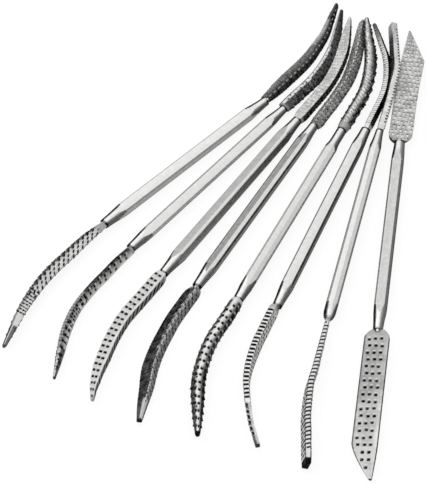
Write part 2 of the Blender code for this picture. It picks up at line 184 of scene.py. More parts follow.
BOX_SIDES = (
    Side(Face.LEFT, (1, -1), (1, 1)),
    Side(Face.TOP, (1, 1), (-1, 1)),
    Side(Face.RIGHT, (-1, 1), (-1, -1)),
    Side(Face.UNDERSIDE, (-1, -1), (1, -1)),
)
SECTION_SIDES = {
    Section.SQUARE: BOX_SIDES,
    Section.PILLAR: BOX_SIDES,
    Section.HALF_ROUND: (
        Side(Face.ROUND, (1, -1), (-1, -1), arched=True),
        Side(Face.UNDERSIDE, (-1, -1), (1, -1)),
    ),
    Section.THREE_SQUARE: (
        Side(Face.LEFT, (1, -1), (0, 1)),
        Side(Face.RIGHT, (0, 1), (-1, -1)),
        Side(Face.UNDERSIDE, (-1, -1), (1, -1)),
    ),
    Section.KNIFE: (
        Side(Face.LEFT, (1, -1), (1, 1)),
        Side(Face.TOP, (1, 1), (-1, KNIFE_EDGE_SHARE)),
        Side(Face.RIGHT, (-1, KNIFE_EDGE_SHARE), (-1, -KNIFE_EDGE_SHARE)),
        Side(Face.UNDERSIDE, (-1, -KNIFE_EDGE_SHARE), (1, -1)),
    ),
}


@dataclass(frozen=True)
class Stitching:
    """One run of rasp teeth on a face, and how the face's steel looks there.

    A tooth is a burr that rises towards the tip and drops into the pit that it was raised from.
    Shares are of a pitch, of a column, of the face's width or of the head's length, as named.
    A later run on a face takes over its tones where it starts, if it has tones of its own. Its tones are
    painted light and shade, with painted highlights on the crests and painted shade in the pits.
    """

    face: Face
    pitch: float = 0.0022
    columns: float = 2
    slant: float = 0.0
    stagger: float = 0.5
    shift: float = 0.0
    reach: tuple[float, float] = (0.0, 1.0)
    spread: bool = True
    burr: float = 0.00025
    pit: float = 0.00035
    pit_length_share: float = 0.4
    tooth_width_share: float = 0.6
    crest_length_share: float = 0.26
    start: float = TOOTH_START
    end_share: float = 1.0
    unevenness: float = 0.3
    # Painted light and shade across and along the face
    across_tones: Table = ()
    along_tones: Table = ((0.5, 1.0),)
    # Painted light on the tooth crests
    crest_painted_light: float = 0.9
    # Painted shade in the pits
    pit_painted_shade: float = 0.0


def bare(face: Face, **settings: object) -> Stitching:
    """Makes a stretch without teeth, which only paints light and shade onto the steel."""
    return Stitching(face, burr=0.0, pit=0.0, unevenness=0.0, **settings)


@dataclass(frozen=True)
class Neck:
    """The turned end of a shank, as a cone that hollows out into a straight neck."""

    radius: float = NECK_RADIUS
    straight: float = 0.0
    hollow: float = 1.6
    # How dark the steel is made in a ring round the groove
    ring: float = 0.6
    # Painted light and shade across the neck: a band of painted reflection between painted dark edges
    tones: Table = NECK_LIGHT_BANDS


@dataclass
class Wrap:
    """The points round a section, ring by ring."""

    points: np.ndarray
    normals: np.ndarray
    across: np.ndarray
    widths: np.ndarray
    sides: np.ndarray
    corners: np.ndarray


def smooth_step(values: np.ndarray) -> np.ndarray:
    """Eases values between 0 and 1 with a level start and end."""
    clipped = np.clip(values, 0.0, 1.0)
    return clipped * clipped * (3.0 - 2.0 * clipped)


def even(tone: float) -> Table:
    """Gives a face one tone from edge to edge."""
    return ((0.5, tone),)


def eased(shares: np.ndarray, steps: Table) -> np.ndarray:
    """Runs through pairs of a share and a value, and stands level at each of them.

    Args:
        shares: where the values are wanted.
        steps: the pairs, in the order of their shares.

    Returns:
        The values.
    """
    places, values = (np.array(column) for column in zip(*steps))
    result = np.full_like(shares, values[0])
    for start, end, change in zip(places, places[1:], np.diff(values)):
        result += change * smooth_step((shares - start) / (end - start))
    return result


def unit(vectors: np.ndarray) -> np.ndarray:
    """Scales vectors on the last axis to a length of 1."""
    return vectors / np.maximum(np.linalg.norm(vectors, axis=-1, keepdims=True), 1e-12)


def wrap_round(half_sizes: np.ndarray, step: float) -> Wrap:
    """Samples an oval section all round, from its underside.

    Args:
        half_sizes: half the width and half the thickness of each ring.
        step: the longest distance between two samples.

    Returns:
        The samples of every ring.
    """
    count = math.ceil(2 * math.pi * half_sizes.max() / step)
    turn_shares = np.arange(count) / count
    angles = 2 * math.pi * turn_shares - math.pi / 2
    circle = np.stack([np.cos(angles), np.sin(angles)], axis=-1)[None]
    sizes = half_sizes[:, None, :]
    girth = 2 * math.pi * np.sqrt((half_sizes**2).mean(axis=1))
    rings = len(half_sizes)
    return Wrap(
        points=circle * sizes,
        normals=unit(circle / sizes),
        across=(turn_shares[None] - 0.5) * girth[:, None],
        widths=np.repeat(girth[:, None], count, axis=1),
        sides=np.zeros(count, int),
        corners=np.zeros((rings, count)),
    )


def wrap_side(side: Side, half_sizes: np.ndarray, radius: float, step: float) -> Masks:
    """Samples one side of a section, short of its rounded corners.

    Args:
        side: the side to sample.
        half_sizes: half the width and half the thickness of each ring.
        radius: the size of the rounded corners.
        step: the longest distance between two samples.

    Returns:
        Its points, normals, places across the face and face widths.
    """
    sizes = half_sizes[:, None, :]
    start = np.array(side.start) * sizes
    end = np.array(side.end) * sizes
    if side.arched:
        reach = np.stack([half_sizes[:, 0], 2 * half_sizes[:, 1]], axis=-1)[:, None, :]
        length = math.pi * np.sqrt((reach**2).mean(axis=-1))
        inset = np.minimum(radius / length, ARCH_INSET_LIMIT)
        count = max(math.ceil(length.max() / step), 4)
        shares = inset + (1 - 2 * inset) * np.linspace(0, 1, count)[None]
        angles = math.pi * shares
        circle = np.stack([np.cos(angles), np.sin(angles)], axis=-1)
        points = circle * reach
        points[..., 1] -= half_sizes[:, 1:2]
        normals = unit(circle / reach)
    else:
        run = end - start
        length = np.linalg.norm(run, axis=-1)
        inset = np.minimum(radius / length, FLAT_INSET_LIMIT)
        count = max(math.ceil(length.max() / step), 2)
        shares = inset + (1 - 2 * inset) * np.linspace(0, 1, count)[None]
        points = start + run * shares[..., None]
        outward = unit(np.stack([run[..., 1], -run[..., 0]], axis=-1))
        normals = np.repeat(outward, count, axis=1)
    widths = np.repeat(length, count, axis=1)
    return {"points": points, "normals": normals, "across": (shares - 0.5) * widths, "widths": widths}


def wrap_section(sides: tuple[Side, ...], half_sizes: np.ndarray, radius: float, step: float) -> Wrap:
    """Samples a section all round, with its corners rounded.

    Args:
        sides: the section's sides, or none where it is round.
        half_sizes: half the width and half the thickness of each ring.
        radius: the size of the rounded corners.
        step: the longest distance between two samples.

    Returns:
        The samples of every ring.
    """
    if not sides:
        return wrap_round(half_sizes, step)
    runs = [wrap_side(side, half_sizes, radius, step) for side in sides]
    parts: dict[str, list[np.ndarray]] = {name: [] for name in runs[0]}
    numbers: list[int] = []
    corners: list[float] = []
    for number, (side, run) in enumerate(zip(sides, runs)):
        following = runs[(number + 1) % len(runs)]
        for name, values in run.items():
            parts[name].append(values)
        numbers += [number] * run["points"].shape[1]
        corners += [0.0] * run["points"].shape[1]
        bend = np.linspace(0, 1, CORNER_SAMPLES + 2)[1:-1][None, :, None]
        corner = (np.array(side.end) * half_sizes)[:, None, :]
        near = run["points"][:, -1:]
        far = following["points"][:, :1]
        curve = (1 - bend) ** 2 * near + 2 * bend * (1 - bend) * corner + bend**2 * far
        parts["points"].append(curve)
        turned = (1 - bend) * run["normals"][:, -1:] + bend * following["normals"][:, :1]
        parts["normals"].append(unit(turned))
        for name in ("across", "widths"):
            parts[name].append(np.repeat(run[name][:, -1:], CORNER_SAMPLES, axis=1))
        numbers += [number] * CORNER_SAMPLES
        corners += [1.0] * CORNER_SAMPLES
    joined = {name: np.concatenate(values, axis=1) for name, values in parts.items()}
    rings = len(half_sizes)
    return Wrap(**joined, sides=np.array(numbers), corners=np.repeat([corners], rings, axis=0))


def make_skin(name: str, rings: np.ndarray, grain: np.ndarray, masks: Masks) -> bpy.types.Object:
    """Skins a row of rings with quads and closes both ends with a fan.

    Args:
        name: the object's name.
        rings: the points, ring by ring, anticlockwise seen from the far end.
        grain: the same points laid straight, so that marks in the steel follow the piece.
        masks: values at the same points, which the materials read by name.

    Returns:
        The new object.
    """
    ring_count, around = rings.shape[:2]
    ends = rings[[0, -1]].mean(axis=1)
    points = np.concatenate([rings.reshape(-1, 3), ends])
    ring, place = np.meshgrid(np.arange(ring_count - 1), np.arange(around), indexing="ij")
    near = ring * around + place
    near_next = ring * around + (place + 1) % around
    quads = np.stack([near, near_next, near_next + around, near + around], axis=-1).reshape(-1, 4)
    rim = np.arange(around)
    rim_next = (rim + 1) % around
    first_centre = ring_count * around
    last_ring = (ring_count - 1) * around
    start_fan = np.stack([rim_next, rim, np.full(around, first_centre)], axis=-1)
    last_centre = np.full(around, first_centre + 1)
    end_fan = np.stack([last_ring + rim, last_ring + rim_next, last_centre], axis=-1)
    corners = np.concatenate([quads.ravel(), start_fan.ravel(), end_fan.ravel()])
    totals = np.concatenate([np.full(len(quads), 4), np.full(2 * around, 3)])
    mesh = bpy.data.meshes.new(name)
    mesh.vertices.add(len(points))
    mesh.vertices.foreach_set("co", points.astype(np.float32).ravel())
    mesh.loops.add(len(corners))
    mesh.loops.foreach_set("vertex_index", corners.astype(np.int32))
    mesh.polygons.add(len(totals))
    starts = np.concatenate([[0], np.cumsum(totals)[:-1]])
    mesh.polygons.foreach_set("loop_start", starts.astype(np.int32))
    mesh.update(calc_edges=True)
    for mask_name, values in masks.items():
        ends_too = np.concatenate([values.ravel(), [values[0].mean(), values[-1].mean()]])
        attribute = mesh.attributes.new(mask_name, "FLOAT", "POINT")
        attribute.data.foreach_set("value", ends_too.astype(np.float32))
    straight = np.concatenate([grain.reshape(-1, 3), grain[[0, -1]].mean(axis=1)])
    attribute = mesh.attributes.new("grain", "FLOAT_VECTOR", "POINT")
    attribute.data.foreach_set("vector", straight.astype(np.float32).ravel())
    mesh.shade_smooth()
    thing = bpy.data.objects.new(name, mesh)
    bpy.context.scene.collection.objects.link(thing)
    return thing


@dataclass
class Shank:
    """The ground square bar between the two necks, with the cones and necks turned on it.

    The tones belong to the bar's flats and bevels, from the left flat over the top to the right one, with
    the top flat in a left and a right half, and are painted reflections. The light band turn is the angle
    in degrees by which the painted band of light on the necks lies round from the top.
    """

    length: float
    side: float
    turn: float
    light_band_turn: float
    # Painted reflections on the flats and bevels, one painted tone each
    left_painted_tone: float = 0.5
    left_bevel_painted_tone: float = 0.6
    top_painted_tones: tuple[float, float] = (0.85, 0.85)
    right_bevel_painted_tone: float = 0.3
    right_painted_tone: float = 0.3
    under_painted_tone: float = 0.5
    lower_neck: Neck = Neck()
    upper_neck: Neck = Neck()

    def stations(self) -> np.ndarray:
        """Places the rings along the bar, close together on the cones and necks.

        Returns:
            Their distances from the bar's middle.
        """
        neck = self.length / 2
        cone = neck - CONE_LENGTH
        groove = neck - 2 * GROOVE_LENGTH
        half = np.concatenate([
            np.linspace(0, cone, 30, endpoint=False),
            np.arange(cone, groove, LATHE_STEP),
            np.linspace(groove, neck, 9, endpoint=False),
            np.linspace(neck, neck + ROOT_STEP, 4, endpoint=False),
            np.linspace(neck + ROOT_STEP, neck + ROOT_DEPTH, 3),
        ])
        return np.concatenate([-half[:0:-1], half])

    def turned_radius(self, places: np.ndarray) -> np.ndarray:
        """Works out what the lathe leaves.

        Args:
            places: distances along the bar from its middle.

        Returns:
            The radius at each place, or twice the bar's where the lathe didn't reach.
        """
        inward = self.length / 2 - np.abs(places)
        full = self.side / math.sqrt(2)
        radius = np.empty_like(places)
        for neck, here in ((self.lower_neck, places < 0), (self.upper_neck, places >= 0)):
            rise = np.clip((inward[here] - neck.straight) / (CONE_LENGTH - neck.straight), 0, 1)
            radius[here] = neck.radius + (full - neck.radius) * rise**neck.hollow
        groove = np.clip(1 - np.abs(inward - GROOVE_LENGTH) / GROOVE_LENGTH, 0, 1)
        radius *= 1 - ROOT_SHRINK * smooth_step(-inward / ROOT_STEP)
        return np.where(inward > CONE_LENGTH, full * 2, radius - GROOVE_DEPTH * groove)

    def outline(self) -> tuple[np.ndarray, np.ndarray, np.ndarray]:
        """Draws the bar's section with softened corners.

        Returns:
            Its points, how near each is to a corner, and the painted tone of the face that it is on, a
            painted reflection.
        """
        half = self.side / 2
        flat = half - SHANK_BEVEL
        spin = np.array([[0, -1], [1, 0]])
        corners = []
        for turn in range(4):
            for corner in ((half, -flat), (half, flat)):
                corners.append(np.linalg.matrix_power(spin, turn) @ np.array(corner))
        # Painted reflections, face by face, round the section
        face_painted_tones = (
            self.left_painted_tone, self.left_bevel_painted_tone, None, self.right_bevel_painted_tone,
            self.right_painted_tone, self.right_bevel_painted_tone, self.under_painted_tone, self.left_bevel_painted_tone,
        )
        points, edges, tones = [], [], []
        for index, (corner, face_tone) in enumerate(zip(corners, face_painted_tones)):
            run = corners[(index + 1) % len(corners)] - corner
            length = np.linalg.norm(run)
            inset = min(SHANK_CORNER / length, FLAT_INSET_LIMIT)
            count = max(math.ceil(length / SHANK_STEP), 3) // 2 * 2 + 1
            for share in np.linspace(inset, 1 - inset, count):
                points.append(corner + run * share)
                edges.append(float(share in (inset, 1 - inset)))
                tones.append(self.top_painted_tones[int(share > 0.5)] if face_tone is None else face_tone)
        angle = math.radians(self.turn)
        turned = np.array([[math.cos(angle), -math.sin(angle)], [math.sin(angle), math.cos(angle)]])
        return np.array(points) @ turned.T, np.array(edges), np.array(tones)

    def turned_painted_light(self, places: np.ndarray, outline: np.ndarray) -> np.ndarray:
        """Works out the steel's tone where it is turned.

        Args:
            places: distances along the bar from its middle.
            outline: the points of the section.

        Returns:
            The painted tone of each point of each ring, from the left over the top to the right.
        """
        # The painted band of light is turned round from the top by the light band turn
        angles = np.arctan2(outline[:, 0], outline[:, 1]) + math.radians(self.light_band_turn)
        above = np.cos(angles) > FAR_SIDE_BELOW
        tones = [
            np.where(above, np.interp(np.sin(angles), *zip(*neck.tones)), FAR_SIDE_PAINTED_TONE)
            for neck in (self.lower_neck, self.upper_neck)
        ]
        return np.where((places < 0)[:, None], *tones)

    def build(self, name: str) -> bpy.types.Object:
        """Makes the shank's mesh, with its middle at the origin and its length along X.

        Args:
            name: the object's name.

        Returns:
            The new object.
        """
        outline, edges, tones = self.outline()
        places = self.stations()
        reach = np.linalg.norm(outline, axis=1)
        limit = self.turned_radius(places)
        scale = np.minimum(1.0, limit[:, None] / reach[None])
        section = outline[None] * scale[..., None]
        along = np.repeat(places[:, None, None], len(outline), axis=1)
        rings = np.concatenate([along, section], axis=-1)
        inward = self.length / 2 - np.abs(places)
        on_lathe = (scale < TURNED_BELOW).astype(float)
        # Darkens the steel in a ring round the groove at each neck
        rings_dark = np.where(places < 0, self.lower_neck.ring, self.upper_neck.ring)
        groove = np.clip(1.5 - np.abs(inward / GROOVE_LENGTH - 0.5), 0, 1) * rings_dark
        groove = groove[:, None] * np.ones_like(scale)
        # A little brighter along the corners of the flats
        bright_corners = edges[None] * (1 - on_lathe)
        # Painted reflections on the flats, and the painted band of light where the bar is turned
        tone = tones[None] * (1 - on_lathe) + self.turned_painted_light(places, outline) * on_lathe
        masks = {"groove_darkening": groove, "edge": bright_corners, "tone": tone}
        return make_skin(name, rings, rings, masks)


@dataclass
class Head:
    """One toothed end of a riffler, from its neck to its tip."""

    section: Section
    length: float
    width: float
    thickness: float
    sweep: float
    stitching: tuple[Stitching, ...] = ()
    section_turn: float = 0.0
    ridge: float = 0.0
    root_share: float = 0.7
    shoulder_share: float = 0.06
    taper_start_share: float = 0.5
    taper_end_share: float = 1.0
    tip_share: float = 0.26
    taper_power: float = 1.7
    flush_share: float = 0.0
    offset: float = 0.0
    bow: Table = ((0.0, 0.0), (1.0, 0.0))
    twist: float = 0.0
    # Painted tones over the root stretch next to the neck and over the tip
    neck_painted_tone: float = 0.85
    neck_length: float = 0.0022
    tip_painted_tone: float = 0.05
    tip_length: float = 0.0004
    seed: int = 1

    def stations(self) -> np.ndarray:
        """Places the rings along the head, closer together at both ends.

        Returns:
            Their distances from the neck.
        """
        body = np.arange(RIM_LENGTH, self.length - RIM_LENGTH, HEAD_STEP)
        rim = RIM_LENGTH * (1 - np.cos(np.linspace(0, math.pi / 2, RIM_RINGS)))
        return np.concatenate([rim[:-1], body, self.length - rim[::-1]])

    def size_shares(self, along_shares: np.ndarray) -> np.ndarray:
        """Works out how the section swells from the neck and tapers to the tip.

        Args:
            along_shares: places along the head, as shares of its length.

        Returns:
            The section's size there, as shares of its full size.
        """
        rise = np.sin(np.clip(along_shares / self.shoulder_share, 0, 1) * math.pi / 2)
        shoulder = self.root_share + (1 - self.root_share) * rise
        run = self.taper_end_share - self.taper_start_share
        fall = np.clip((along_shares - self.taper_start_share) / run, 0, 1)
        return np.minimum(shoulder, 1 - (1 - self.tip_share) * fall**self.taper_power)

    def sides(self) -> tuple[Side, ...]:
        """Looks up the section's sides, and moves the ridge of a three-square one.

        Returns:
            The sides, or none where the section is round.
        """
        sides = SECTION_SIDES.get(self.section, ())
        if self.section is Section.THREE_SQUARE:
            top = (self.ridge, 1)
            moved = {Face.LEFT: {"end": top}, Face.RIGHT: {"start": top}, Face.UNDERSIDE: {}}
            sides = tuple(replace(side, **moved[side.face]) for side in sides)
        return sides

    def half_sizes(self, distances: np.ndarray) -> np.ndarray:
        """Works out the section's size, with both ends of the head rounded off.

        Args:
            distances: distances from the neck.

        Returns:
            Half the width and half the thickness at each of them.
        """
        sizes = self.size_shares(distances / self.length)
        from_root = np.clip(distances / RIM_LENGTH, 0, 1)
        from_tip = np.clip((self.length - distances) / RIM_LENGTH, 0, 1)
        root = ROOT_RIM_SHARE + (1 - ROOT_RIM_SHARE) * np.sqrt(1 - (1 - from_root) ** 2)
        tip = TIP_RIM_SHARE + (1 - TIP_RIM_SHARE) * np.sqrt(1 - (1 - from_tip) ** 2)
        widths = self.width / 2 * sizes
        thicknesses = self.thickness / 2 * np.sqrt(sizes)
        return np.stack([widths * root * tip, thicknesses * root * tip], axis=-1)

    def middles(self, distances: np.ndarray) -> np.ndarray:
        """Returns how far the section's middle lies to the left, where one edge runs straight."""
        lost = self.width / 2 * (1 - self.size_shares(distances / self.length))
        return self.flush_share * lost * (distances > self.length / 2)

    def spine(self, distances: np.ndarray) -> tuple[np.ndarray, np.ndarray, np.ndarray]:
        """Draws the head's centre line.

        Args:
            distances: distances from the neck.

        Returns:
            X, Y and the turned angle in radians at each of them.
        """
        bend_start = STRAIGHT_SHARE * self.length
        bend_end = BEND_END_SHARE * self.length
        run = np.clip(distances, bend_start, bend_end) - bend_start
        turned = math.radians(self.sweep) * run / (bend_end - bend_start)
        chord = run * np.sinc(turned / 2 / math.pi)
        before = np.minimum(distances, bend_start)
        after = np.maximum(distances - bend_end, 0.0)
        x = before + chord * np.cos(turned / 2) + after * np.cos(turned)
        y = chord * np.sin(turned / 2) + after * np.sin(turned)
        bow = eased(distances / self.length, self.bow)
        slope = np.gradient(bow, distances)
        return x - bow * np.sin(turned), y + bow * np.cos(turned), turned + np.arctan(slope)

    def teeth(
        self,
        stitch: Stitching,
        along: np.ndarray,
        across: np.ndarray,
        widths: np.ndarray,
        chance: np.ndarray,
    ) -> Masks:
        """Works out the teeth of one run on one face.

        Args:
            stitch: the run of teeth.
            along: distances from the neck.
            across: distances from the face's middle.
            widths: the face's width.
            chance: random shares, by row and column, that keep the teeth from looking stamped.

        Returns:
            The height of the surface, the pits, the crests and the painted tone of the steel.
        """
        slope = across * math.tan(math.radians(stitch.slant))
        end = (self.length - PLAIN_TIP_LENGTH) * stitch.end_share
        rows = (along - stitch.start + slope) / stitch.pitch
        row = np.floor(rows + 0.5).astype(int)
        face_share = across / widths + 0.5
        place = face_share if stitch.spread else (across + widths / 2) / widths.max()
        columns = place * stitch.columns + (row % 2) * stitch.stagger + stitch.shift
        column = np.floor(columns).astype(int)
        draw = chance[row % chance.shape[0], column % chance.shape[1]]
        chance_x, chance_y, chance_strength = np.moveaxis((draw - 0.5) * stitch.unevenness, -1, 0)
        x = rows - row + chance_x * PLACE_JITTER
        y = columns - column - 0.5 + chance_y * PLACE_JITTER
        home = stitch.start + row * stitch.pitch - slope
        there = (home > stitch.start * FIRST_ROW_SHARE) * (home < end)
        middle = (column + 0.5 - (row % 2) * stitch.stagger - stitch.shift) / stitch.columns
        there = there * (middle >= stitch.reach[0]) * (middle <= stitch.reach[1])
        if not stitch.spread:
            there = there * (middle * widths.max() < widths - EDGE_MARGIN)
        strength = (1 + chance_strength * STRENGTH_JITTER) * there
        dome = np.clip(1 - (2 * y / stitch.tooth_width_share) ** 2, 0, 1)
        climb = np.clip(1 + x / BURR_RISE, 0, 1) ** BURR_CURVE
        rise = climb * (x <= 0) + (1 - smooth_step(x / BURR_DROP)) * (x > 0)
        half_pit = stitch.pit_length_share / 2
        pit_place = min(PIT_NEAREST + half_pit, PIT_FARTHEST - half_pit)
        dip = np.clip(1 - ((x - pit_place) / half_pit) ** 2, 0, 1)
        height = strength * (stitch.burr * dome * rise - stitch.pit * np.sqrt(dome) * dip)
        size = 1 + chance_y * SIZE_JITTER
        pits = smooth_step(PIT_GAIN * dip * dome * size - PIT_THRESHOLD) * there * (stitch.pit > 0)
        crests = np.exp(-((x / stitch.crest_length_share * 2) ** 2)) * dome * there * (stitch.burr > 0)
        crests = np.clip(CREST_GAIN * crests, 0, 1) * np.clip(CREST_CHANCE - draw[..., 0], 0, 1)
        # Painted light and shade across and along the face, times tone that differs at random from tooth to
        # tooth
        tone = np.interp(face_share, *zip(*(stitch.across_tones or even(PLAIN_TONE))))
        tone = tone * np.interp(along / self.length, *zip(*stitch.along_tones))
        tone = tone * (1 + chance_strength)
        return {"height": height, "pit": pits, "crest": crests, "tone": tone}

    def stitch_up(self, wrap: Wrap, along: np.ndarray) -> Masks:
        """Works out the teeth and the steel's tone all over the head.

        Args:
            wrap: the samples of every ring.
            along: distances from the neck.

        Returns:
            The height of the surface, the pits, the painted tones of the steel, and the painted shade of
            the pits.
        """
        chance = np.random.default_rng(self.seed).random(CHANCE_SHAPE)
        whole = {name: np.zeros_like(wrap.across) for name in ("height", "pit", "tone", "pit_painted_shade")}
        for number, face in enumerate([side.face for side in self.sides()] or [Face.ROUND]):
            here = wrap.sides == number
            places, across, widths = along[:, here], wrap.across[:, here], wrap.widths[:, here]
            height, pit, tone, pit_painted_shade = (np.zeros_like(places) for _ in range(4))
            runs = [run for run in self.stitching if run.face is face]
            for order, run in enumerate(runs or [bare(face)]):
                made = self.teeth(run, places, across, widths, chance)
                if run.across_tones or not order:
                    reached = smooth_step((places - run.start) / RUN_FADE + 1) if order else 1.0
                    tone += (made["tone"] - tone) * reached
                # Painted light on the crests
                tone += (run.crest_painted_light - tone) * made["crest"]
                # Painted shade in the pits
                pit_painted_shade += (run.pit_painted_shade - pit_painted_shade) * made["pit"]
                height += made["height"]
                pit = np.maximum(pit, made["pit"])
            for name, values in zip(whole, (height, pit, tone, pit_painted_shade)):
                whole[name][:, here] = values
        return whole

    def build(self, name: str) -> bpy.types.Object:
        """Makes the head's mesh, with its neck at the origin and its tip towards +X.

        Args:
            name: the object's name.

        Returns:
            The new object.
        """
        distances = self.stations()
        wrap = wrap_section(self.sides(), self.half_sizes(distances), HEAD_CORNER, HEAD_STEP)
        along = np.repeat(distances[:, None], wrap.across.shape[1], axis=1)
        whole = self.stitch_up(wrap, along)
        height = whole["height"] * (1 - CORNER_LOSS * wrap.corners)
        # Painted tones over the root stretch and the tip
        neck_patch = 1 - smooth_step((along - self.neck_length) / NECK_FADE)
        tip_patch = smooth_step((along - self.length + self.tip_length + TIP_FADE) / TIP_FADE)
        pits = whole["pit"] * (1 - neck_patch)
        # Painted shade in the pits
        colour = whole["tone"] * (1 - pits) + whole["pit_painted_shade"] * pits
        colour = colour * (1 - neck_patch) + self.neck_painted_tone * neck_patch
        colour = colour * (1 - tip_patch) + self.tip_painted_tone * tip_patch
        points = wrap.points + wrap.normals * height[..., None]
        y = points[..., 0] + self.middles(distances)[:, None]
        z = points[..., 1]
        start, end = TWIST_SHARES
        twist = ((0.0, 0.0), (start, 0.0), (end, self.twist), (1.0, self.twist))
        angle = np.radians(self.section_turn + eased(along / self.length, twist))
        side_way = y * np.cos(angle) - z * np.sin(angle)
        up = y * np.sin(angle) + z * np.cos(angle)
        spine_x, spine_y, turned = (values[:, None] for values in self.spine(distances))
        lean = np.clip(height, 0, None) * BURR_LEAN
        rings = np.stack([
            spine_x - side_way * np.sin(turned) + lean * np.cos(turned),
            spine_y + side_way * np.cos(turned) + lean * np.sin(turned),
            up,
        ], axis=-1)
        masks = {"tone": colour, "pit": pits, "edge": wrap.corners * (1 - pits)}
        grain = np.stack([along, wrap.points[..., 0], wrap.points[..., 1]], axis=-1)
        return make_skin(name, rings, grain, masks)


@dataclass
class Riffler:
    """One double-ended riffler: its shank, its two heads and its place in the fan."""

    name: str
    heading: float
    place: tuple[float, float]
    shank: Shank
    lower: Head
    upper: Head

    def head_place(self, lower: bool) -> Matrix:
        """Puts a head on its neck, in the shank's own frame.

        Args:
            lower: whether it is the lower head.

        Returns:
            The matrix that carries the head there.
        """
        neck = self.shank.length / 2
        if lower:
            flip = Matrix.Rotation(math.pi, 4, "Z")
            return Matrix.Translation((-neck, -self.lower.offset, 0.0)) @ flip
        return Matrix.Translation((neck, self.upper.offset, 0.0))

    def build(self, steel: bpy.types.Material, toothed: bpy.types.Material) -> list[bpy.types.Object]:
        """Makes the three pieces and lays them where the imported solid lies.

        Args:
            steel: the shank's finish.
            toothed: the heads' finish.

        Returns:
            The shank and the two heads.
        """
        short = self.name.replace("_riffler", "")
        heading = Matrix.Rotation(math.radians(self.heading), 4, "Z")
        pieces = [
            self.shank.build(f"{short}_shank"),
            self.lower.build(f"{short}_lower_head"),
            self.upper.build(f"{short}_upper_head"),
        ]
        places = [heading, heading @ self.head_place(True), heading @ self.head_place(False)]
        lowest = min(lowest_height(piece, place) for piece, place in zip(pieces, places))
        shift = (*self.place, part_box(self.name)[0].z - lowest)
        for piece, place, finish in zip(pieces, places, (steel, toothed, toothed)):
            piece.data.transform(Matrix.Translation(Vector(shift)) @ place)
            piece.data.materials.append(finish)
            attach(piece, BODY)
            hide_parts(self.name)
        return pieces


def lowest_height(piece: bpy.types.Object, place: Matrix) -> float:
    """Measures how low a piece would reach where a matrix lays it.

    Args:
        piece: the piece.
        place: the matrix.

    Returns:
        The lowest Z of its points.
    """
    points = np.empty(len(piece.data.vertices) * 3, np.float32)
    piece.data.vertices.foreach_get("co", points)
    matrix = np.array(place)
    return (points.reshape(-1, 3) @ matrix[2, :3] + matrix[2, 3]).min()


class NodeTree:
    """A short hand for building shader nodes."""

    def __init__(self, tree: bpy.types.NodeTree) -> None:
        """Keeps the tree and empties it."""
        self.tree = tree
        tree.nodes.clear()

    def add(self, kind: str, values: dict[str, object] | None = None, **settings: object) -> bpy.types.Node:
        """Adds a node.

        Args:
            kind: the node's type.
            values: the values of its inputs, by name.
            settings: its own properties.

        Returns:
            The new node.
        """
        node = self.tree.nodes.new(kind)
        for name, value in settings.items():
            setattr(node, name, value)
        for name, value in (values or {}).items():
            node.inputs[name].default_value = value
        return node

    def link(self, source: bpy.types.NodeSocket, target: bpy.types.NodeSocket) -> None:
        """Joins two sockets."""
        self.tree.links.new(source, target)

    def mix(self, first: Colour, second: Colour, share: bpy.types.NodeSocket) -> bpy.types.NodeSocket:
        """Adds a Mix node for two colours.

        Args:
            first: the colour at a share of 0.
            second: the colour at a share of 1.
            share: the socket that gives the share.

        Returns:
            The mixed colour's socket.
        """
        node = self.add("ShaderNodeMix", {"A": (*first, 1.0), "B": (*second, 1.0)}, data_type="RGBA")
        self.link(share, node.inputs["Factor"])
        return node.outputs["Result"]

    def maths(
        self, operation: str, first: object, second: object = 0.0, clamp: bool = False
    ) -> bpy.types.NodeSocket:
        """Adds a Math node.

        Args:
            operation: what it works out.
            first: its first input, a number or a socket.
            second: its second input, likewise.
            clamp: whether the result is kept between 0 and 1.

        Returns:
            The result's socket.
        """
        node = self.add("ShaderNodeMath", operation=operation, use_clamp=clamp)
        for socket, value in zip(node.inputs, (first, second)):
            if isinstance(value, bpy.types.NodeSocket):
                self.link(value, socket)
            else:
                socket.default_value = value
        return node.outputs[0]


def grinding_group() -> bpy.types.ShaderNodeTree:
    """Builds the node group of grinding marks and mottling on bare steel.

    Returns:
        The group, with the inputs Vector and Fineness and the outputs Height and Mottle.
    """
    group = bpy.data.node_groups.new("grinding_marks", "ShaderNodeTree")
    group.interface.new_socket("Vector", in_out="INPUT", socket_type="NodeSocketVector")
    group.interface.new_socket("Fineness", in_out="INPUT", socket_type="NodeSocketFloat")
    for name in ("Height", "Mottle"):
        group.interface.new_socket(name, in_out="OUTPUT", socket_type="NodeSocketFloat")
    nodes = NodeTree(group)
    entry = nodes.add("NodeGroupInput")
    leave = nodes.add("NodeGroupOutput")
    stretch = nodes.add("ShaderNodeMapping", {"Scale": MARK_STRETCH})
    nodes.link(entry.outputs["Vector"], stretch.inputs["Vector"])
    marks = nodes.add("ShaderNodeTexNoise", {"Detail": 5.0, "Roughness": 0.65})
    nodes.link(stretch.outputs[0], marks.inputs["Vector"])
    nodes.link(entry.outputs["Fineness"], marks.inputs["Scale"])
    mottle = nodes.add("ShaderNodeTexNoise", {"Detail": 3.0, "Roughness": 0.7})
    nodes.link(entry.outputs["Vector"], mottle.inputs["Vector"])
    coarser = nodes.maths("MULTIPLY", entry.outputs["Fineness"], MOTTLE_FINENESS_SHARE)
    nodes.link(coarser, mottle.inputs["Scale"])
    nodes.link(marks.outputs["Fac"], leave.inputs["Height"])
    nodes.link(mottle.outputs["Fac"], leave.inputs["Mottle"])
    return group


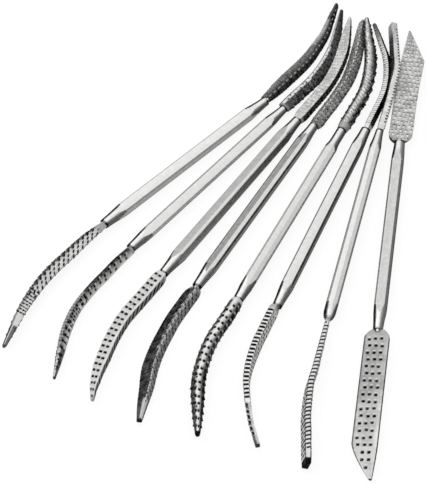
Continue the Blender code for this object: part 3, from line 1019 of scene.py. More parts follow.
@dataclass(frozen=True)
class SteelFinish:
    """Bare ground steel, coloured by the painted light and shade that its mesh carries, with painted shade
    in its pits, and a little brighter along its corners.

    The glance is how bright the steel is where it is seen at a grazing angle.
    """

    name: str
    dark: float
    metallic: float
    roughness: float
    mottle: float
    fineness: float
    relief: float
    bright: Colour = (0.86, 0.86, 0.85)
    glance: float = 0.45
    # How much brighter the steel is along its corners
    corner_brightening: float = 0.06
    mottled_roughness: float = 0.5
    pit_roughness: float = 0.3

    def material(self, marks: bpy.types.ShaderNodeTree) -> bpy.types.Material:
        """Builds the material.

        Args:
            marks: the node group of grinding marks.

        Returns:
            The finished material.
        """
        material = bpy.data.materials.new(self.name)
        material.use_nodes = True
        nodes = NodeTree(material.node_tree)
        output = nodes.add("ShaderNodeOutputMaterial")
        shader = nodes.add("ShaderNodeBsdfPrincipled", {
            "Metallic": self.metallic,
            "Specular IOR Level": 0.0,
            "Specular Tint": (self.glance, self.glance, self.glance, 1.0),
        })
        nodes.link(shader.outputs[0], output.inputs["Surface"])
        place = nodes.add("ShaderNodeAttribute", attribute_name="grain")
        effect = nodes.add("ShaderNodeGroup", {"Fineness": self.fineness}, node_tree=marks)
        nodes.link(place.outputs["Vector"], effect.inputs["Vector"])
        # The tone attribute carries painted light and shade: painted reflections, painted highlights on
        # crests and painted shade in pits. In the heads it also carries tone that differs at random. It
        # sets the base colour.
        tone, edge, groove_darkening, pit = (
            nodes.add("ShaderNodeAttribute", attribute_name=name).outputs["Fac"]
            for name in ("tone", "edge", "groove_darkening", "pit")
        )
        swing = nodes.maths("SUBTRACT", effect.outputs["Mottle"], 0.5)
        swing = nodes.maths("MULTIPLY", swing, self.mottle)
        level = nodes.maths("ADD", tone, swing)
        level = nodes.maths("ADD", level, nodes.maths("MULTIPLY", edge, self.corner_brightening))
        # Takes off the darkening round the groove
        level = nodes.maths("SUBTRACT", level, groove_darkening, clamp=True)
        nodes.link(nodes.mix((self.dark,) * 3, self.bright, level), shader.inputs["Base Color"])
        rough = nodes.maths("MULTIPLY", swing, self.mottled_roughness)
        rough = nodes.maths("ADD", rough, self.roughness)
        dull = nodes.maths("MULTIPLY", pit, self.pit_roughness)
        nodes.link(nodes.maths("ADD", rough, dull, clamp=True), shader.inputs["Roughness"])
        bump = nodes.add("ShaderNodeBump", {"Strength": 1.0, "Distance": self.relief})
        nodes.link(effect.outputs["Height"], bump.inputs["Height"])
        nodes.link(bump.outputs[0], shader.inputs["Normal"])
        return material


SHANK_FINISH = SteelFinish(
    name="ground_steel_shank",
    dark=0.010,
    metallic=1.0,
    roughness=0.36,
    mottle=0.4,
    fineness=1500.0,
    relief=0.00003,
)
HEAD_FINISH = SteelFinish(
    name="stitched_steel_head",
    dark=0.008,
    metallic=0.5,
    roughness=0.42,
    mottle=0.45,
    fineness=1100.0,
    relief=0.00004,
)


# The tones in the heads and shanks below are painted light and shade: painted reflections, painted
# highlights and painted shade.
# Half-round riffler
HALF_ROUND_LOWER_HEAD = Head(
    section=Section.HALF_ROUND, length=0.0639, width=0.0042, thickness=0.0034, sweep=26.0,
    section_turn=160.0, root_share=0.6, shoulder_share=0.3, tip_share=0.36, offset=0.0004,
    bow=((0.0, 0.0), (0.1, 0.0), (0.33, 0.0011), (0.6, 0.0008), (0.8, 0.0003), (1.0, 0.0004)),
    neck_painted_tone=0.5, neck_length=0.0035, tip_painted_tone=0.1,
    stitching=(
        Stitching(
            Face.UNDERSIDE, pitch=0.00255, columns=3.5, slant=47.0, stagger=0.0, burr=0.0001, pit=0.0006,
            pit_length_share=0.44, tooth_width_share=0.78, end_share=0.68,
            across_tones=((0.0, 0.85), (0.68, 0.8), (0.76, 0.12), (1.0, 0.05)),
        ),
        Stitching(
            Face.UNDERSIDE, pitch=0.0013, columns=3, stagger=0.4, burr=0.0001, pit=0.0006,
            pit_length_share=0.5, tooth_width_share=0.9, start=0.0385, end_share=0.82,
            across_tones=((0.0, 0.9), (0.6, 0.8), (0.8, 0.3), (1.0, 0.1)),
        ),
        bare(
            Face.UNDERSIDE, start=0.0475, across_tones=((0.0, 0.8), (0.7, 0.95), (0.85, 0.4), (1.0, 0.1)),
        ),
        bare(
            Face.UNDERSIDE, start=0.0555,
            across_tones=(
                (0.0, 0.03), (0.2, 0.08), (0.3, 0.2), (0.58, 0.16), (0.64, 0.85), (0.74, 0.85),
                (0.8, 0.08), (1.0, 0.03),
            ),
        ),
        Stitching(
            Face.ROUND, pitch=0.00255, columns=7, burr=0.0003, across_tones=even(0.12), crest_painted_light=0.3,
        ),
    ),
)
HALF_ROUND_UPPER_HEAD = Head(
    section=Section.HALF_ROUND, length=0.0580, width=0.0054, thickness=0.0036, sweep=29.0, root_share=0.6,
    shoulder_share=0.22, taper_start_share=0.3, tip_share=0.34, offset=0.0011,
    bow=((0.0, 0.0), (0.33, 0.0016), (0.55, 0.0014), (0.78, 0.0004), (1.0, 0.0001)),
    neck_painted_tone=0.15, neck_length=0.0006,
    stitching=(
        Stitching(Face.UNDERSIDE, pitch=0.0021, columns=4, across_tones=even(0.5)),
        Stitching(
            Face.ROUND, pitch=0.00125, columns=9, burr=0.00028, pit=0.0003, start=0.002, unevenness=0.5,
            across_tones=((0.2, 0.36), (0.4, 0.26), (0.6, 0.14), (0.72, 0.06), (0.9, 0.03)),
            crest_painted_light=0.2,
        ),
        bare(
            Face.ROUND, start=0.034, end_share=0.9,
            across_tones=((0.2, 0.6), (0.42, 0.5), (0.52, 0.2), (0.6, 0.06), (1.0, 0.03)),
        ),
        bare(Face.ROUND, start=0.049, across_tones=((0.2, 0.2), (0.45, 0.14), (0.6, 0.05), (1.0, 0.03))),
        Stitching(
            Face.ROUND, pitch=0.00245, columns=7, stagger=0.0, shift=-0.26, reach=(0.62, 0.72),
            burr=0.0002, pit=0.0, crest_length_share=0.4, start=0.0025, unevenness=0.0, crest_painted_light=0.6,
        ),
    ),
)
HALF_ROUND_RIFFLER = Riffler(
    name="half_round_riffler", heading=44.0, place=(-0.01369, 0.02829),
    shank=Shank(
        length=0.0832, side=0.0045, turn=10.0, light_band_turn=26.95, left_bevel_painted_tone=0.85,
        top_painted_tones=(0.93, 0.9), right_bevel_painted_tone=0.7, right_painted_tone=1.0, lower_neck=Neck(radius=0.0019),
        upper_neck=Neck(ring=0.3),
    ),
    lower=HALF_ROUND_LOWER_HEAD, upper=HALF_ROUND_UPPER_HEAD,
)

# Oval riffler
# Painted light and shade across the oval's belly
OVAL_BELLY_PAINTED_TONES = (
    (0.22, 1.0), (0.36, 0.8), (0.42, 0.5), (0.47, 0.28), (0.52, 0.14), (0.57, 0.45), (0.68, 0.5),
)
OVAL_LOWER_HEAD = Head(
    section=Section.ROUND, length=0.0622, width=0.0039, thickness=0.0034, sweep=31.5, root_share=0.84,
    shoulder_share=0.22, taper_start_share=0.6, tip_share=0.24, taper_power=2.0, offset=0.0006,
    bow=((0.0, 0.0), (0.1, 0.0), (0.27, 0.0006), (0.35, 0.0006), (0.55, 0.0002), (1.0, 0.0004)),
    neck_painted_tone=0.4, neck_length=0.0006,
    stitching=(
        Stitching(
            Face.ROUND, pitch=0.0029, columns=8, slant=28.0, reach=(0.3, 0.5), burr=0.0002, pit=0.0006,
            pit_length_share=0.34, tooth_width_share=0.95, unevenness=0.2,
            across_tones=(
                (0.19, 1.0), (0.3, 1.0), (0.36, 0.75), (0.4, 0.45), (0.45, 0.2), (0.5, 0.06),
                (0.69, 0.03),
            ),
            crest_painted_light=0.6,
        ),
        Stitching(
            Face.ROUND, pitch=0.0026, columns=7, slant=25.0, stagger=0.0, reach=(0.26, 0.5), burr=0.0003,
            pit=0.0006, pit_length_share=0.3, tooth_width_share=1.0, start=0.026, unevenness=0.4,
            across_tones=OVAL_BELLY_PAINTED_TONES, crest_painted_light=0.8,
        ),
        Stitching(
            Face.ROUND, pitch=0.0013, columns=9, reach=(0.55, 0.85), burr=0.0002, pit=0.0004,
            start=0.0261, unevenness=0.6, across_tones=OVAL_BELLY_PAINTED_TONES, crest_painted_light=0.8,
        ),
        bare(
            Face.ROUND, start=0.051,
            across_tones=((0.32, 0.4), (0.38, 0.1), (0.48, 0.15), (0.52, 0.95), (0.6, 0.9), (0.66, 0.1)),
        ),
    ),
)
OVAL_UPPER_HEAD = Head(
    section=Section.ROUND, length=0.0562, width=0.0054, thickness=0.0032, sweep=31.5, root_share=0.9,
    shoulder_share=0.12, taper_start_share=0.4, offset=0.0004,
    bow=((0.0, -0.0001), (0.55, -0.0002), (1.0, -0.0004)),
    neck_painted_tone=0.3, neck_length=0.0006,
    stitching=(
        Stitching(
            Face.ROUND, pitch=0.0018, columns=10, slant=25.0, reach=(0.4, 0.7), pit=0.0003,
            unevenness=0.7,
            across_tones=((0.37, 0.3), (0.39, 1.0), (0.46, 1.0), (0.48, 0.1), (0.6, 0.06), (0.8, 0.04)),
            crest_painted_light=0.26,
        ),
        Stitching(
            Face.ROUND, pitch=0.0029, columns=8, reach=(0.66, 0.95), burr=0.0003, pit=0.0005,
            start=0.0031, unevenness=0.4, crest_painted_light=0.3,
        ),
        bare(
            Face.ROUND, start=0.018,
            across_tones=((0.34, 0.3), (0.36, 1.0), (0.43, 1.0), (0.45, 0.1), (0.6, 0.05)),
        ),
        bare(
            Face.ROUND, start=0.036,
            across_tones=((0.3, 0.3), (0.33, 1.0), (0.39, 1.0), (0.41, 0.1), (0.6, 0.05)),
        ),
    ),
)
OVAL_RIFFLER = Riffler(
    name="oval_riffler", heading=48.8, place=(-0.00522, 0.02095),
    shank=Shank(
        length=0.0864, side=0.0044, turn=20.0, light_band_turn=24.96, left_bevel_painted_tone=0.5,
        top_painted_tones=(0.93, 0.92), right_bevel_painted_tone=0.85, right_painted_tone=0.8,
        upper_neck=Neck(radius=0.0016, ring=0.9),
    ),
    lower=OVAL_LOWER_HEAD, upper=OVAL_UPPER_HEAD,
)

# Square riffler
SQUARE_LOWER_HEAD = Head(
    section=Section.SQUARE, length=0.0586, width=0.0043, thickness=0.0040, sweep=22.0, section_turn=4.0,
    taper_start_share=0.66, tip_share=0.22,
    bow=(
        (0.0, 0.0), (0.25, 0.0), (0.42, -0.00045), (0.67, -0.00045), (0.8, -0.0009), (0.9, -0.0007),
        (1.0, 0.0001),
    ),
    neck_length=0.001, tip_painted_tone=0.6,
    stitching=(
        Stitching(
            Face.TOP, pitch=0.0025, columns=2.5, stagger=0.0, shift=-0.53, reach=(0.2, 1.0), burr=0.0001,
            pit=0.0007, pit_length_share=0.44, tooth_width_share=0.78, start=0.0016, end_share=1.04,
            unevenness=0.15, across_tones=((0.0, 0.95), (0.15, 0.8), (0.3, 0.7), (1.0, 0.72)),
            crest_painted_light=0.95,
        ),
        Stitching(
            Face.LEFT, pitch=0.0025, columns=1, slant=30.0, stagger=0.0, burr=0.0001, pit=0.00012,
            pit_length_share=0.56, tooth_width_share=1.0, start=0.0026, end_share=1.04, unevenness=0.15,
            across_tones=((0.7, 0.45), (0.95, 0.55), (1.0, 0.9)), crest_painted_light=0.5,
        ),
        Stitching(Face.RIGHT, pitch=0.0025),
        Stitching(Face.UNDERSIDE, pitch=0.0025),
    ),
)
SQUARE_UPPER_HEAD = Head(
    section=Section.SQUARE, length=0.0570, width=0.0042, thickness=0.0032, sweep=24.5, section_turn=-17.0,
    taper_start_share=0.66, tip_share=0.16, offset=-0.0001, neck_painted_tone=0.7, neck_length=0.001,
    tip_painted_tone=0.6,
    stitching=(
        Stitching(
            Face.TOP, pitch=0.0017, columns=4, burr=0.0001, pit=0.0001, unevenness=0.5,
            across_tones=even(0.72), crest_painted_light=0.8, pit_painted_shade=0.5,
        ),
        Stitching(Face.LEFT, pitch=0.0019, across_tones=even(0.4)),
        Stitching(Face.RIGHT, pitch=0.0019, burr=0.0003, across_tones=even(0.03), crest_painted_light=0.2),
        Stitching(Face.UNDERSIDE, pitch=0.0019),
    ),
)
SQUARE_RIFFLER = Riffler(
    name="square_riffler", heading=54.7, place=(0.00315, 0.0124),
    shank=Shank(
        length=0.0863, side=0.0046, turn=-20.0, light_band_turn=22.21, left_bevel_painted_tone=0.4,
        top_painted_tones=(0.56, 0.58), right_bevel_painted_tone=0.93, right_painted_tone=0.4, upper_neck=Neck(radius=0.0019),
    ),
    lower=SQUARE_LOWER_HEAD, upper=SQUARE_UPPER_HEAD,
)

# Three-square riffler
THREE_SQUARE_LOWER_HEAD = Head(
    section=Section.THREE_SQUARE, length=0.0598, width=0.0062, thickness=0.0042, sweep=23.0, ridge=0.47,
    taper_start_share=0.6, tip_share=0.3, offset=-0.0003,
    bow=(
        (0.0, 0.0), (0.08, -0.0003), (0.2, -0.0003), (0.4, 0.0002), (0.6, 0.0002), (0.75, 0.0006),
        (0.9, 0.0003), (1.0, 0.0003),
    ),
    neck_painted_tone=0.5, neck_length=0.001, tip_painted_tone=0.0, tip_length=0.0008,
    stitching=(
        Stitching(
            Face.LEFT, pitch=0.00245, columns=3.3, slant=26.0, burr=0.0002, pit=0.0004,
            pit_length_share=0.42, tooth_width_share=0.72, start=0.0025, end_share=0.92, unevenness=0.4,
            across_tones=((0.0, 0.22), (0.66, 0.3), (0.8, 0.26), (1.0, 0.2)), crest_painted_light=0.7,
        ),
        Stitching(
            Face.LEFT, pitch=0.00127, columns=4, stagger=0.0, reach=(0.7, 1.0), burr=0.0002, pit=0.0,
            tooth_width_share=1.0, crest_length_share=0.8, start=0.0026, end_share=0.92, crest_painted_light=1.0,
        ),
        bare(Face.LEFT, start=0.0515, across_tones=((0.0, 0.1), (0.3, 0.15), (0.45, 0.95), (1.0, 1.0))),
        Stitching(
            Face.RIGHT, pitch=0.00125, columns=7, burr=0.0002, start=0.0025, end_share=0.92,
            unevenness=0.8, across_tones=((0.0, 0.35), (0.14, 0.25), (0.26, 0.05), (1.0, 0.02)),
            crest_painted_light=0.16,
        ),
        Stitching(
            Face.RIGHT, pitch=0.00245, columns=5, reach=(0.0, 0.2), burr=0.0002, pit=0.0,
            tooth_width_share=0.9, crest_length_share=0.5, start=0.0025, end_share=0.55, crest_painted_light=0.75,
        ),
        bare(Face.RIGHT, start=0.031, across_tones=((0.0, 0.16), (0.12, 0.1), (1.0, 0.06))),
        bare(Face.RIGHT, start=0.0515, across_tones=((0.0, 1.0), (0.2, 0.95), (0.4, 0.15), (1.0, 0.1))),
        Stitching(Face.UNDERSIDE, pitch=0.0015, columns=5, across_tones=even(0.5)),
    ),
)
THREE_SQUARE_UPPER_HEAD = Head(
    section=Section.THREE_SQUARE, length=0.0571, width=0.0054, thickness=0.0038, sweep=20.0,
    taper_start_share=0.62, tip_share=0.55, offset=-0.0004,
    bow=((0.0, 0.0005), (0.1, 0.0005), (0.3, 0.0002), (0.5, -0.0003), (0.8, -0.0003), (1.0, -0.0002)),
    neck_painted_tone=0.3, neck_length=0.0008, tip_painted_tone=0.1,
    stitching=(
        Stitching(
            Face.LEFT, burr=0.0003, pit=0.0002, tooth_width_share=0.85, crest_length_share=0.75,
            start=0.002, end_share=1.04, unevenness=0.4, across_tones=even(0.52), crest_painted_light=1.0,
            pit_painted_shade=0.16,
        ),
        Stitching(
            Face.RIGHT, columns=3, burr=0.0003, pit=0.0002, crest_length_share=0.4, start=0.002,
            end_share=1.04, unevenness=0.6,
            across_tones=((0.0, 0.6), (0.7, 0.54), (0.88, 0.1), (1.0, 0.03)), crest_painted_light=0.95,
            pit_painted_shade=0.1,
        ),
        Stitching(Face.UNDERSIDE, pitch=0.0018, columns=4, across_tones=even(0.5)),
    ),
)
THREE_SQUARE_RIFFLER = Riffler(
    name="three_square_riffler", heading=59.1, place=(0.01235, 0.00859),
    shank=Shank(
        length=0.0856, side=0.0045, turn=4.0, light_band_turn=19.95, left_bevel_painted_tone=0.5,
        top_painted_tones=(0.36, 0.78), right_bevel_painted_tone=0.1, right_painted_tone=0.55, lower_neck=Neck(ring=0.4),
    ),
    lower=THREE_SQUARE_LOWER_HEAD, upper=THREE_SQUARE_UPPER_HEAD,
)

# Round riffler
ROUND_LOWER_HEAD = Head(
    section=Section.ROUND, length=0.0579, width=0.0049, thickness=0.0049, sweep=26.0, root_share=0.9,
    taper_start_share=0.66, tip_share=0.34,
    bow=((0.0, -0.0001), (0.1, -0.0001), (0.35, -0.0007), (0.6, -0.0007), (0.78, -0.0003), (1.0, 0.0)),
    neck_length=0.0012, tip_painted_tone=0.0, tip_length=0.0009,
    stitching=(
        Stitching(
            Face.ROUND, pitch=0.00285, columns=9, slant=10.0, stagger=0.0, shift=-0.62, burr=0.0004,
            pit=0.0006, pit_length_share=0.38, tooth_width_share=0.75, end_share=1.04,
            across_tones=(
                (0.24, 0.04), (0.36, 0.05), (0.39, 0.12), (0.42, 0.4), (0.46, 0.9), (0.53, 1.0),
                (0.56, 0.5), (0.58, 0.08), (0.72, 0.05),
            ),
            crest_painted_light=0.7,
        ),
        Stitching(
            Face.ROUND, pitch=0.0019, columns=12, reach=(0.54, 0.8), burr=0.0001, pit=0.0003, start=0.032,
            unevenness=0.6,
            across_tones=(
                (0.27, 0.04), (0.39, 0.05), (0.42, 0.3), (0.46, 0.9), (0.53, 1.0), (0.55, 0.5),
                (0.57, 0.12), (0.63, 0.08), (0.73, 0.1),
            ),
            crest_painted_light=0.35,
        ),
    ),
)
ROUND_UPPER_HEAD = Head(
    section=Section.ROUND, length=0.0584, width=0.0048, thickness=0.0048, sweep=30.0, root_share=0.8,
    taper_start_share=0.6, tip_share=0.36,
    bow=((0.0, 0.0), (0.3, 0.0), (0.55, 0.0003), (0.78, 0.0006), (1.0, 0.0004)),
    neck_painted_tone=0.5,
    stitching=(
        Stitching(
            Face.ROUND, pitch=0.0021, columns=9, slant=40.0, reach=(0.58, 0.95), burr=0.0005, pit=0.0005,
            unevenness=0.4,
            across_tones=(
                (0.3, 0.05), (0.4, 0.06), (0.43, 0.4), (0.47, 0.9), (0.53, 0.75), (0.555, 0.42),
                (0.58, 0.26), (0.61, 0.08), (0.66, 0.03), (0.85, 0.03),
            ),
            crest_painted_light=0.4,
        ),
        Stitching(
            Face.ROUND, pitch=0.0016, columns=16, slant=35.0, reach=(0.46, 0.62), burr=0.0002,
            pit=0.00015, tooth_width_share=0.9, unevenness=0.9, pit_painted_shade=0.25,
        ),
        Stitching(
            Face.ROUND, pitch=0.0017, columns=9, reach=(0.3, 0.42), burr=0.0004, pit=0.0004,
            unevenness=0.6, crest_painted_light=0.3,
        ),
        Stitching(
            Face.ROUND, pitch=0.0017, columns=9, reach=(0.3, 0.42), burr=0.0003, pit=0.0004, start=0.03,
            unevenness=0.5,
            across_tones=(
                (0.27, 0.04), (0.37, 0.05), (0.4, 0.4), (0.44, 0.85), (0.5, 0.75), (0.53, 0.42),
                (0.56, 0.22), (0.59, 0.08), (0.64, 0.03), (0.82, 0.03),
            ),
            crest_painted_light=0.3,
        ),
    ),
)
ROUND_RIFFLER = Riffler(
    name="round_riffler", heading=62.7, place=(0.02484, 0.00409),
    shank=Shank(
        length=0.0866, side=0.0047, turn=17.0, light_band_turn=17.96, left_bevel_painted_tone=0.55,
        top_painted_tones=(0.88, 0.7), right_bevel_painted_tone=0.78, right_painted_tone=0.6,
        lower_neck=Neck(radius=0.0019, ring=0.4),
        upper_neck=Neck(radius=0.0019, straight=0.006, ring=0.9),
    ),
    lower=ROUND_LOWER_HEAD, upper=ROUND_UPPER_HEAD,
)

# Pillar riffler
PILLAR_LOWER_HEAD = Head(
    section=Section.PILLAR, length=0.0593, width=0.0044, thickness=0.0025, sweep=31.5, section_turn=-72.0,
    taper_start_share=0.3, taper_end_share=0.9, tip_share=0.45, taper_power=1.0, offset=-0.0004,
    bow=(
        (0.0, 0.0), (0.33, 0.0001), (0.55, -0.0003), (0.67, 0.0), (0.85, 0.0), (0.93, 0.0005),
        (1.0, 0.0009),
    ),
    twist=-14.0, neck_painted_tone=0.6,
    stitching=(
        Stitching(
            Face.TOP, pitch=0.0016, columns=3, slant=38.0, stagger=0.0, burr=0.0001, pit=0.00012,
            pit_length_share=0.56, tooth_width_share=0.9, end_share=0.82, across_tones=even(1.0),
            along_tones=((0.8, 1.0), (0.9, 0.8), (1.0, 0.6)),
        ),
        Stitching(
            Face.RIGHT, pitch=0.0016, columns=1, stagger=0.0, burr=0.0001, pit=0.0002,
            pit_length_share=0.66, tooth_width_share=1.2, end_share=0.72, unevenness=0.15,
            across_tones=((0.0, 1.0), (0.86, 1.0), (0.94, 0.05)),
        ),
        Stitching(
            Face.RIGHT, slant=30.0, stagger=0.0, reach=(0.3, 1.0), burr=0.0003, pit=0.0003,
            pit_length_share=0.5, tooth_width_share=1.0, start=0.043, end_share=0.98, unevenness=0.4,
            across_tones=((0.0, 0.75), (0.4, 0.7), (0.6, 0.12), (1.0, 0.03)),
        ),
        Stitching(Face.LEFT, pitch=0.0019, columns=1, stagger=0.0, across_tones=even(0.5)),
        Stitching(Face.UNDERSIDE, pitch=0.0019, columns=3, across_tones=even(0.5)),
    ),
)
PILLAR_UPPER_HEAD = Head(
    section=Section.PILLAR, length=0.0553, width=0.0034, thickness=0.0021, sweep=35.0, section_turn=68.0,
    taper_start_share=0.6, tip_share=0.4, offset=-0.0003,
    bow=((0.0, 0.0), (0.4, 0.0), (0.65, -0.0001), (0.82, 0.0002), (1.0, 0.0005)),
    twist=-9.0, neck_painted_tone=0.9, neck_length=0.002, tip_painted_tone=0.1,
    stitching=(
        Stitching(Face.TOP, pitch=0.0018, across_tones=even(0.02), crest_painted_light=0.08),
        Stitching(
            Face.LEFT, pitch=0.00105, columns=1, stagger=0.0, burr=0.0001, pit=0.0002,
            pit_length_share=0.36, tooth_width_share=1.15, start=0.0025, end_share=0.86, unevenness=0.15,
            across_tones=((0.0, 0.1), (0.1, 0.2), (0.18, 0.95), (0.9, 0.95), (1.0, 0.3)),
            along_tones=((0.7, 1.0), (0.8, 0.7), (0.88, 0.25), (1.0, 0.16)), pit_painted_shade=0.35,
        ),
        Stitching(
            Face.LEFT, pitch=0.0013, columns=5, reach=(0.0, 0.4), burr=0.0001, pit=0.0002,
            pit_length_share=0.5, tooth_width_share=0.9, start=0.026, end_share=1.03, unevenness=0.6,
        ),
        Stitching(Face.RIGHT, pitch=0.0014, columns=1, stagger=0.0, across_tones=even(0.5)),
        Stitching(Face.UNDERSIDE, pitch=0.0018, across_tones=even(0.3)),
    ),
)
PILLAR_RIFFLER = Riffler(
    name="pillar_riffler", heading=66.3, place=(0.03635, 0.00315),
    shank=Shank(
        length=0.0870, side=0.0045, turn=0.0, light_band_turn=15.86, top_painted_tones=(0.86, 0.82),
        right_bevel_painted_tone=0.1, right_painted_tone=0.4, lower_neck=Neck(ring=0.3),
        upper_neck=Neck(radius=0.0019, ring=0.9),
    ),
    lower=PILLAR_LOWER_HEAD, upper=PILLAR_UPPER_HEAD,
)

# Flat riffler
FLAT_LOWER_HEAD = Head(
    section=Section.PILLAR, length=0.0601, width=0.0054, thickness=0.0024, sweep=11.0, section_turn=86.0,
    root_share=0.42, shoulder_share=0.6, taper_start_share=0.9, tip_share=0.8,
    bow=((0.0, 0.0), (0.33, 0.0002), (0.5, -0.0006), (0.67, -0.0005), (0.83, 0.0), (1.0, 0.00045)),
    twist=-9.0, neck_painted_tone=0.5, neck_length=0.001, tip_painted_tone=0.0, tip_length=0.0022,
    stitching=(
        Stitching(
            Face.LEFT, pitch=0.00158, columns=1, slant=-20.0, stagger=0.0, burr=0.0001, pit=0.0003,
            pit_length_share=0.46, tooth_width_share=1.2, start=0.0015, end_share=0.96, unevenness=0.15,
            across_tones=((0.0, 0.04), (0.16, 0.06), (0.26, 1.0), (0.8, 1.0), (0.88, 0.06)),
        ),
        Stitching(
            Face.TOP, pitch=0.00158, burr=0.0001, pit=0.0001, pit_length_share=0.66,
            tooth_width_share=0.9, start=0.026, unevenness=0.4, across_tones=even(1.0),
        ),
        Stitching(Face.UNDERSIDE, pitch=0.0019, columns=3, across_tones=even(0.5)),
        Stitching(Face.RIGHT, pitch=0.00128, columns=1, stagger=0.0, across_tones=even(0.5)),
    ),
)
FLAT_UPPER_HEAD = Head(
    section=Section.PILLAR, length=0.0538, width=0.0040, thickness=0.0026, sweep=12.5, section_turn=-84.0,
    root_share=0.6, taper_start_share=0.7, tip_share=0.85,
    bow=((0.0, -0.0002), (0.38, -0.0005), (0.57, -0.0008), (0.76, -0.0002), (1.0, 0.0003)),
    twist=13.0, neck_painted_tone=0.9, tip_painted_tone=0.5,
    stitching=(
        Stitching(
            Face.RIGHT, pitch=0.0015, columns=3, stagger=0.0, reach=(0.7, 1.0), burr=0.0001,
            pit_length_share=0.5, tooth_width_share=1.0,
            across_tones=((0.0, 0.4), (0.12, 0.9), (0.8, 0.9), (1.0, 0.4)),
            along_tones=((0.7, 1.0), (0.9, 0.75), (1.0, 0.65)),
        ),
        Stitching(
            Face.TOP, pitch=0.0013, columns=4, across_tones=even(0.05),
            along_tones=((0.84, 1.0), (0.92, 12.0)), crest_painted_light=0.7,
        ),
        Stitching(Face.UNDERSIDE, pitch=0.0018, columns=3, across_tones=even(0.3)),
        Stitching(Face.LEFT, pitch=0.0013, columns=1, stagger=0.0, across_tones=even(0.5)),
    ),
)
FLAT_RIFFLER = Riffler(
    name="flat_riffler", heading=75.3, place=(0.04789, -0.00004),
    shank=Shank(
        length=0.0876, side=0.0044, turn=8.0, light_band_turn=10.17, left_bevel_painted_tone=0.5,
        top_painted_tones=(0.96, 0.68), right_bevel_painted_tone=0.5, right_painted_tone=0.5,
        lower_neck=Neck(
            radius=0.0011, hollow=0.4, ring=0.0,
            # Painted light and shade across this neck
            tones=(
                (-1.0, 0.08), (-0.75, 0.15), (-0.5, 0.4), (-0.25, 0.95), (0.3, 1.0), (0.45, 0.5),
                (0.65, 0.1), (0.8, 0.03),
            ),
        ),
        upper_neck=Neck(radius=0.0015, ring=0.9),
    ),
    lower=FLAT_LOWER_HEAD, upper=FLAT_UPPER_HEAD,
)

# Knife riffler
KNIFE_LOWER_HEAD = Head(
    section=Section.KNIFE, length=0.0605, width=0.0090, thickness=0.0022, sweep=0.0, section_turn=8.0,
    root_share=0.5, taper_start_share=0.77, tip_share=0.1, taper_power=1.35, flush_share=0.82,
    neck_painted_tone=0.5,
    stitching=(
        Stitching(
            Face.TOP, pitch=0.00287, columns=4.03, stagger=0.18, shift=0.3, reach=(0.2, 0.95),
            spread=False, burr=0.00012, pit=0.0007, tooth_width_share=0.55, start=0.0035, end_share=1.03,
            across_tones=(
                (0.0, 0.1), (0.03, 0.7), (0.12, 0.62), (0.3, 0.54), (0.93, 0.54), (0.96, 0.12),
                (1.0, 0.05),
            ),
            along_tones=((0.04, 1.0), (0.2, 0.84), (0.4, 0.84), (0.55, 1.1), (1.0, 1.2)),
        ),
        bare(Face.LEFT, across_tones=((0.0, 0.3), (0.5, 0.1), (1.0, 0.06))),
        Stitching(Face.UNDERSIDE, pitch=0.00287, columns=4, burr=0.00012),
    ),
)
KNIFE_UPPER_HEAD = Head(
    section=Section.KNIFE, length=0.0560, width=0.0088, thickness=0.0022, sweep=-3.0, section_turn=-8.0,
    root_share=0.5, taper_start_share=0.73, tip_share=0.08, taper_power=1.0, flush_share=0.9,
    bow=((0.0, 0.0), (0.2, -0.0002), (0.45, -0.0004), (0.7, -0.0008), (1.0, -0.001)),
    neck_painted_tone=0.08, neck_length=0.0004,
    stitching=(
        Stitching(
            Face.TOP, pitch=0.0021, columns=5, burr=0.0002, pit=0.0001, crest_length_share=0.5,
            start=0.001, unevenness=0.6, across_tones=even(0.56), crest_painted_light=1.0, pit_painted_shade=0.3,
        ),
        bare(Face.LEFT, across_tones=even(0.5), along_tones=((0.06, 0.2), (0.12, 1.0))),
        Stitching(Face.UNDERSIDE, pitch=0.0021, columns=5, burr=0.0002, across_tones=even(0.5)),
    ),
)
KNIFE_RIFFLER = Riffler(
    name="knife_riffler", heading=81.8, place=(0.0603, -0.00469),
    shank=Shank(
        length=0.0845, side=0.0045, turn=-8.0, light_band_turn=5.76, top_painted_tones=(0.68, 0.7), right_painted_tone=0.15,
        lower_neck=Neck(ring=0.0), upper_neck=Neck(radius=0.0020, ring=0.4),
    ),
    lower=KNIFE_LOWER_HEAD, upper=KNIFE_UPPER_HEAD,
)

RIFFLERS = (
    HALF_ROUND_RIFFLER, OVAL_RIFFLER, SQUARE_RIFFLER, THREE_SQUARE_RIFFLER,
    ROUND_RIFFLER, PILLAR_RIFFLER, FLAT_RIFFLER, KNIFE_RIFFLER,
)


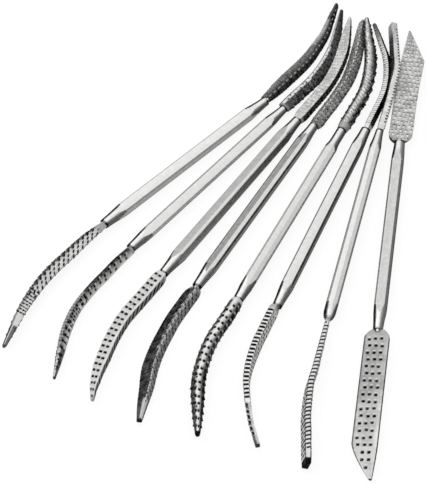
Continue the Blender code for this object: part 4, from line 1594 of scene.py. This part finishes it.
@dataclass
class Studio:
    """The floor, the lights and the camera."""

    floor_size: float = 4.0
    floor_tone: float = 0.75
    floor_seen_tone: float = 0.16
    floor_glow: float = 0.88
    floor_mirrored_glow: float = 0.1
    floor_through_glow: float = 0.78
    camera_target: tuple[float, float, float] = (-0.00381, -0.00878, 0.0024)
    camera_distance: float = 0.75
    camera_elevation: float = 54.75
    focal_pixels: float = 2067.0
    picture_height: int = 485
    sky_direction: tuple[float, float, float] = (-0.15, 0.45, 0.88)
    sky_span: tuple[float, float] = (0.15, 0.85)
    sky_strength: tuple[float, float] = (0.38, 1.05)
    softbox_place: tuple[float, float, float] = (-0.7, 0.5, 1.2)
    softbox_side: float = 0.5
    softbox_radiance: float = 2.0

    def add_floor(self) -> None:
        """Adds the white floor, which keeps a faint shadow."""
        half = self.floor_size / 2
        mesh = bpy.data.meshes.new("floor")
        corners = [(-half, -half, 0), (half, -half, 0), (half, half, 0), (-half, half, 0)]
        mesh.from_pydata(corners, [], [(0, 1, 2, 3)])
        floor = bpy.data.objects.new("floor", mesh)
        bpy.context.scene.collection.objects.link(floor)
        material = bpy.data.materials.new("white_floor")
        material.use_nodes = True
        nodes = NodeTree(material.node_tree)
        output = nodes.add("ShaderNodeOutputMaterial")
        shader = nodes.add("ShaderNodeBsdfPrincipled", {
            "Roughness": 0.9,
            "Specular IOR Level": 0.0,
            "Emission Color": (1.0, 1.0, 1.0, 1.0),
        })
        path = nodes.add("ShaderNodeLightPath").outputs
        paint = nodes.mix((self.floor_tone,) * 3, (self.floor_seen_tone,) * 3, path["Is Camera Ray"])
        nodes.link(paint, shader.inputs["Base Color"])
        seen = nodes.maths("MULTIPLY", path["Is Camera Ray"], self.floor_glow)
        mirrored = nodes.maths("MULTIPLY", path["Is Glossy Ray"], self.floor_mirrored_glow)
        through = nodes.maths("MULTIPLY", path["Is Transmission Ray"], self.floor_through_glow)
        total = nodes.maths("ADD", nodes.maths("ADD", seen, mirrored), through)
        nodes.link(total, shader.inputs["Emission Strength"])
        nodes.link(shader.outputs[0], output.inputs["Surface"])
        mesh.materials.append(material)

    def add_softbox(self) -> None:
        """Adds the square lamp, at the upper left behind the rifflers and facing them."""
        lamp = bpy.data.lights.new("softbox", "AREA")
        lamp.shape = "SQUARE"
        lamp.size = self.softbox_side
        lamp.energy = self.softbox_radiance * math.pi * self.softbox_side**2
        thing = bpy.data.objects.new("softbox", lamp)
        thing.location = self.softbox_place
        thing.rotation_euler = (-Vector(self.softbox_place)).to_track_quat("-Z", "Y").to_euler()
        bpy.context.scene.collection.objects.link(thing)

    def add_world(self) -> None:
        """Sets a sky that is bright from the upper left behind, and white where the camera sees it."""
        world = bpy.data.worlds.new("studio")
        bpy.context.scene.world = world
        world.use_nodes = True
        nodes = NodeTree(world.node_tree)
        output = nodes.add("ShaderNodeOutputWorld")
        background = nodes.add("ShaderNodeBackground", {"Color": (1.0, 1.0, 1.0, 1.0)})
        path = nodes.add("ShaderNodeLightPath")
        way = nodes.add("ShaderNodeTexCoord")
        facing = nodes.add("ShaderNodeVectorMath", operation="DOT_PRODUCT")
        nodes.link(way.outputs["Generated"], facing.inputs[0])
        facing.inputs[1].default_value = self.sky_direction
        span = dict(zip(("From Min", "From Max"), self.sky_span))
        strengths = dict(zip(("To Min", "To Max"), self.sky_strength))
        glow = nodes.add("ShaderNodeMapRange", span | strengths, interpolation_type="SMOOTHSTEP")
        nodes.link(facing.outputs["Value"], glow.inputs["Value"])
        strength = nodes.maths("MAXIMUM", path.outputs["Is Camera Ray"], glow.outputs[0])
        nodes.link(strength, background.inputs["Strength"])
        nodes.link(background.outputs[0], output.inputs["Surface"])

    def add_camera(self) -> None:
        """Adds the camera at the photograph's angle and distance."""
        data = bpy.data.cameras.new("camera")
        data.sensor_fit = "AUTO"
        data.sensor_width = 36.0
        data.lens = self.focal_pixels * data.sensor_width / self.picture_height
        data.clip_start, data.clip_end = 0.01, 50.0
        camera = bpy.data.objects.new("camera", data)
        elevation = math.radians(self.camera_elevation)
        back = Vector((0.0, -math.cos(elevation), math.sin(elevation)))
        camera.location = Vector(self.camera_target) + back * self.camera_distance
        camera.rotation_euler = (-back).to_track_quat("-Z", "Y").to_euler()
        bpy.context.scene.collection.objects.link(camera)
        bpy.context.scene.camera = camera

    def build(self) -> None:
        """Adds everything round the rifflers."""
        self.add_floor()
        self.add_world()
        self.add_softbox()
        self.add_camera()
        bpy.context.scene.view_settings.view_transform = "Standard"


def main() -> None:
    """Builds the rifflers and the studio, and reports each piece."""
    logging.basicConfig(level=logging.INFO, format="%(message)s")
    marks = grinding_group()
    steel = SHANK_FINISH.material(marks)
    toothed = HEAD_FINISH.material(marks)
    for riffler in RIFFLERS:
        for piece in riffler.build(steel, toothed):
            LOG.info("%s: %d faces", piece.name, len(piece.data.polygons))
    Studio().build()


if __name__ == "__main__":
    main()
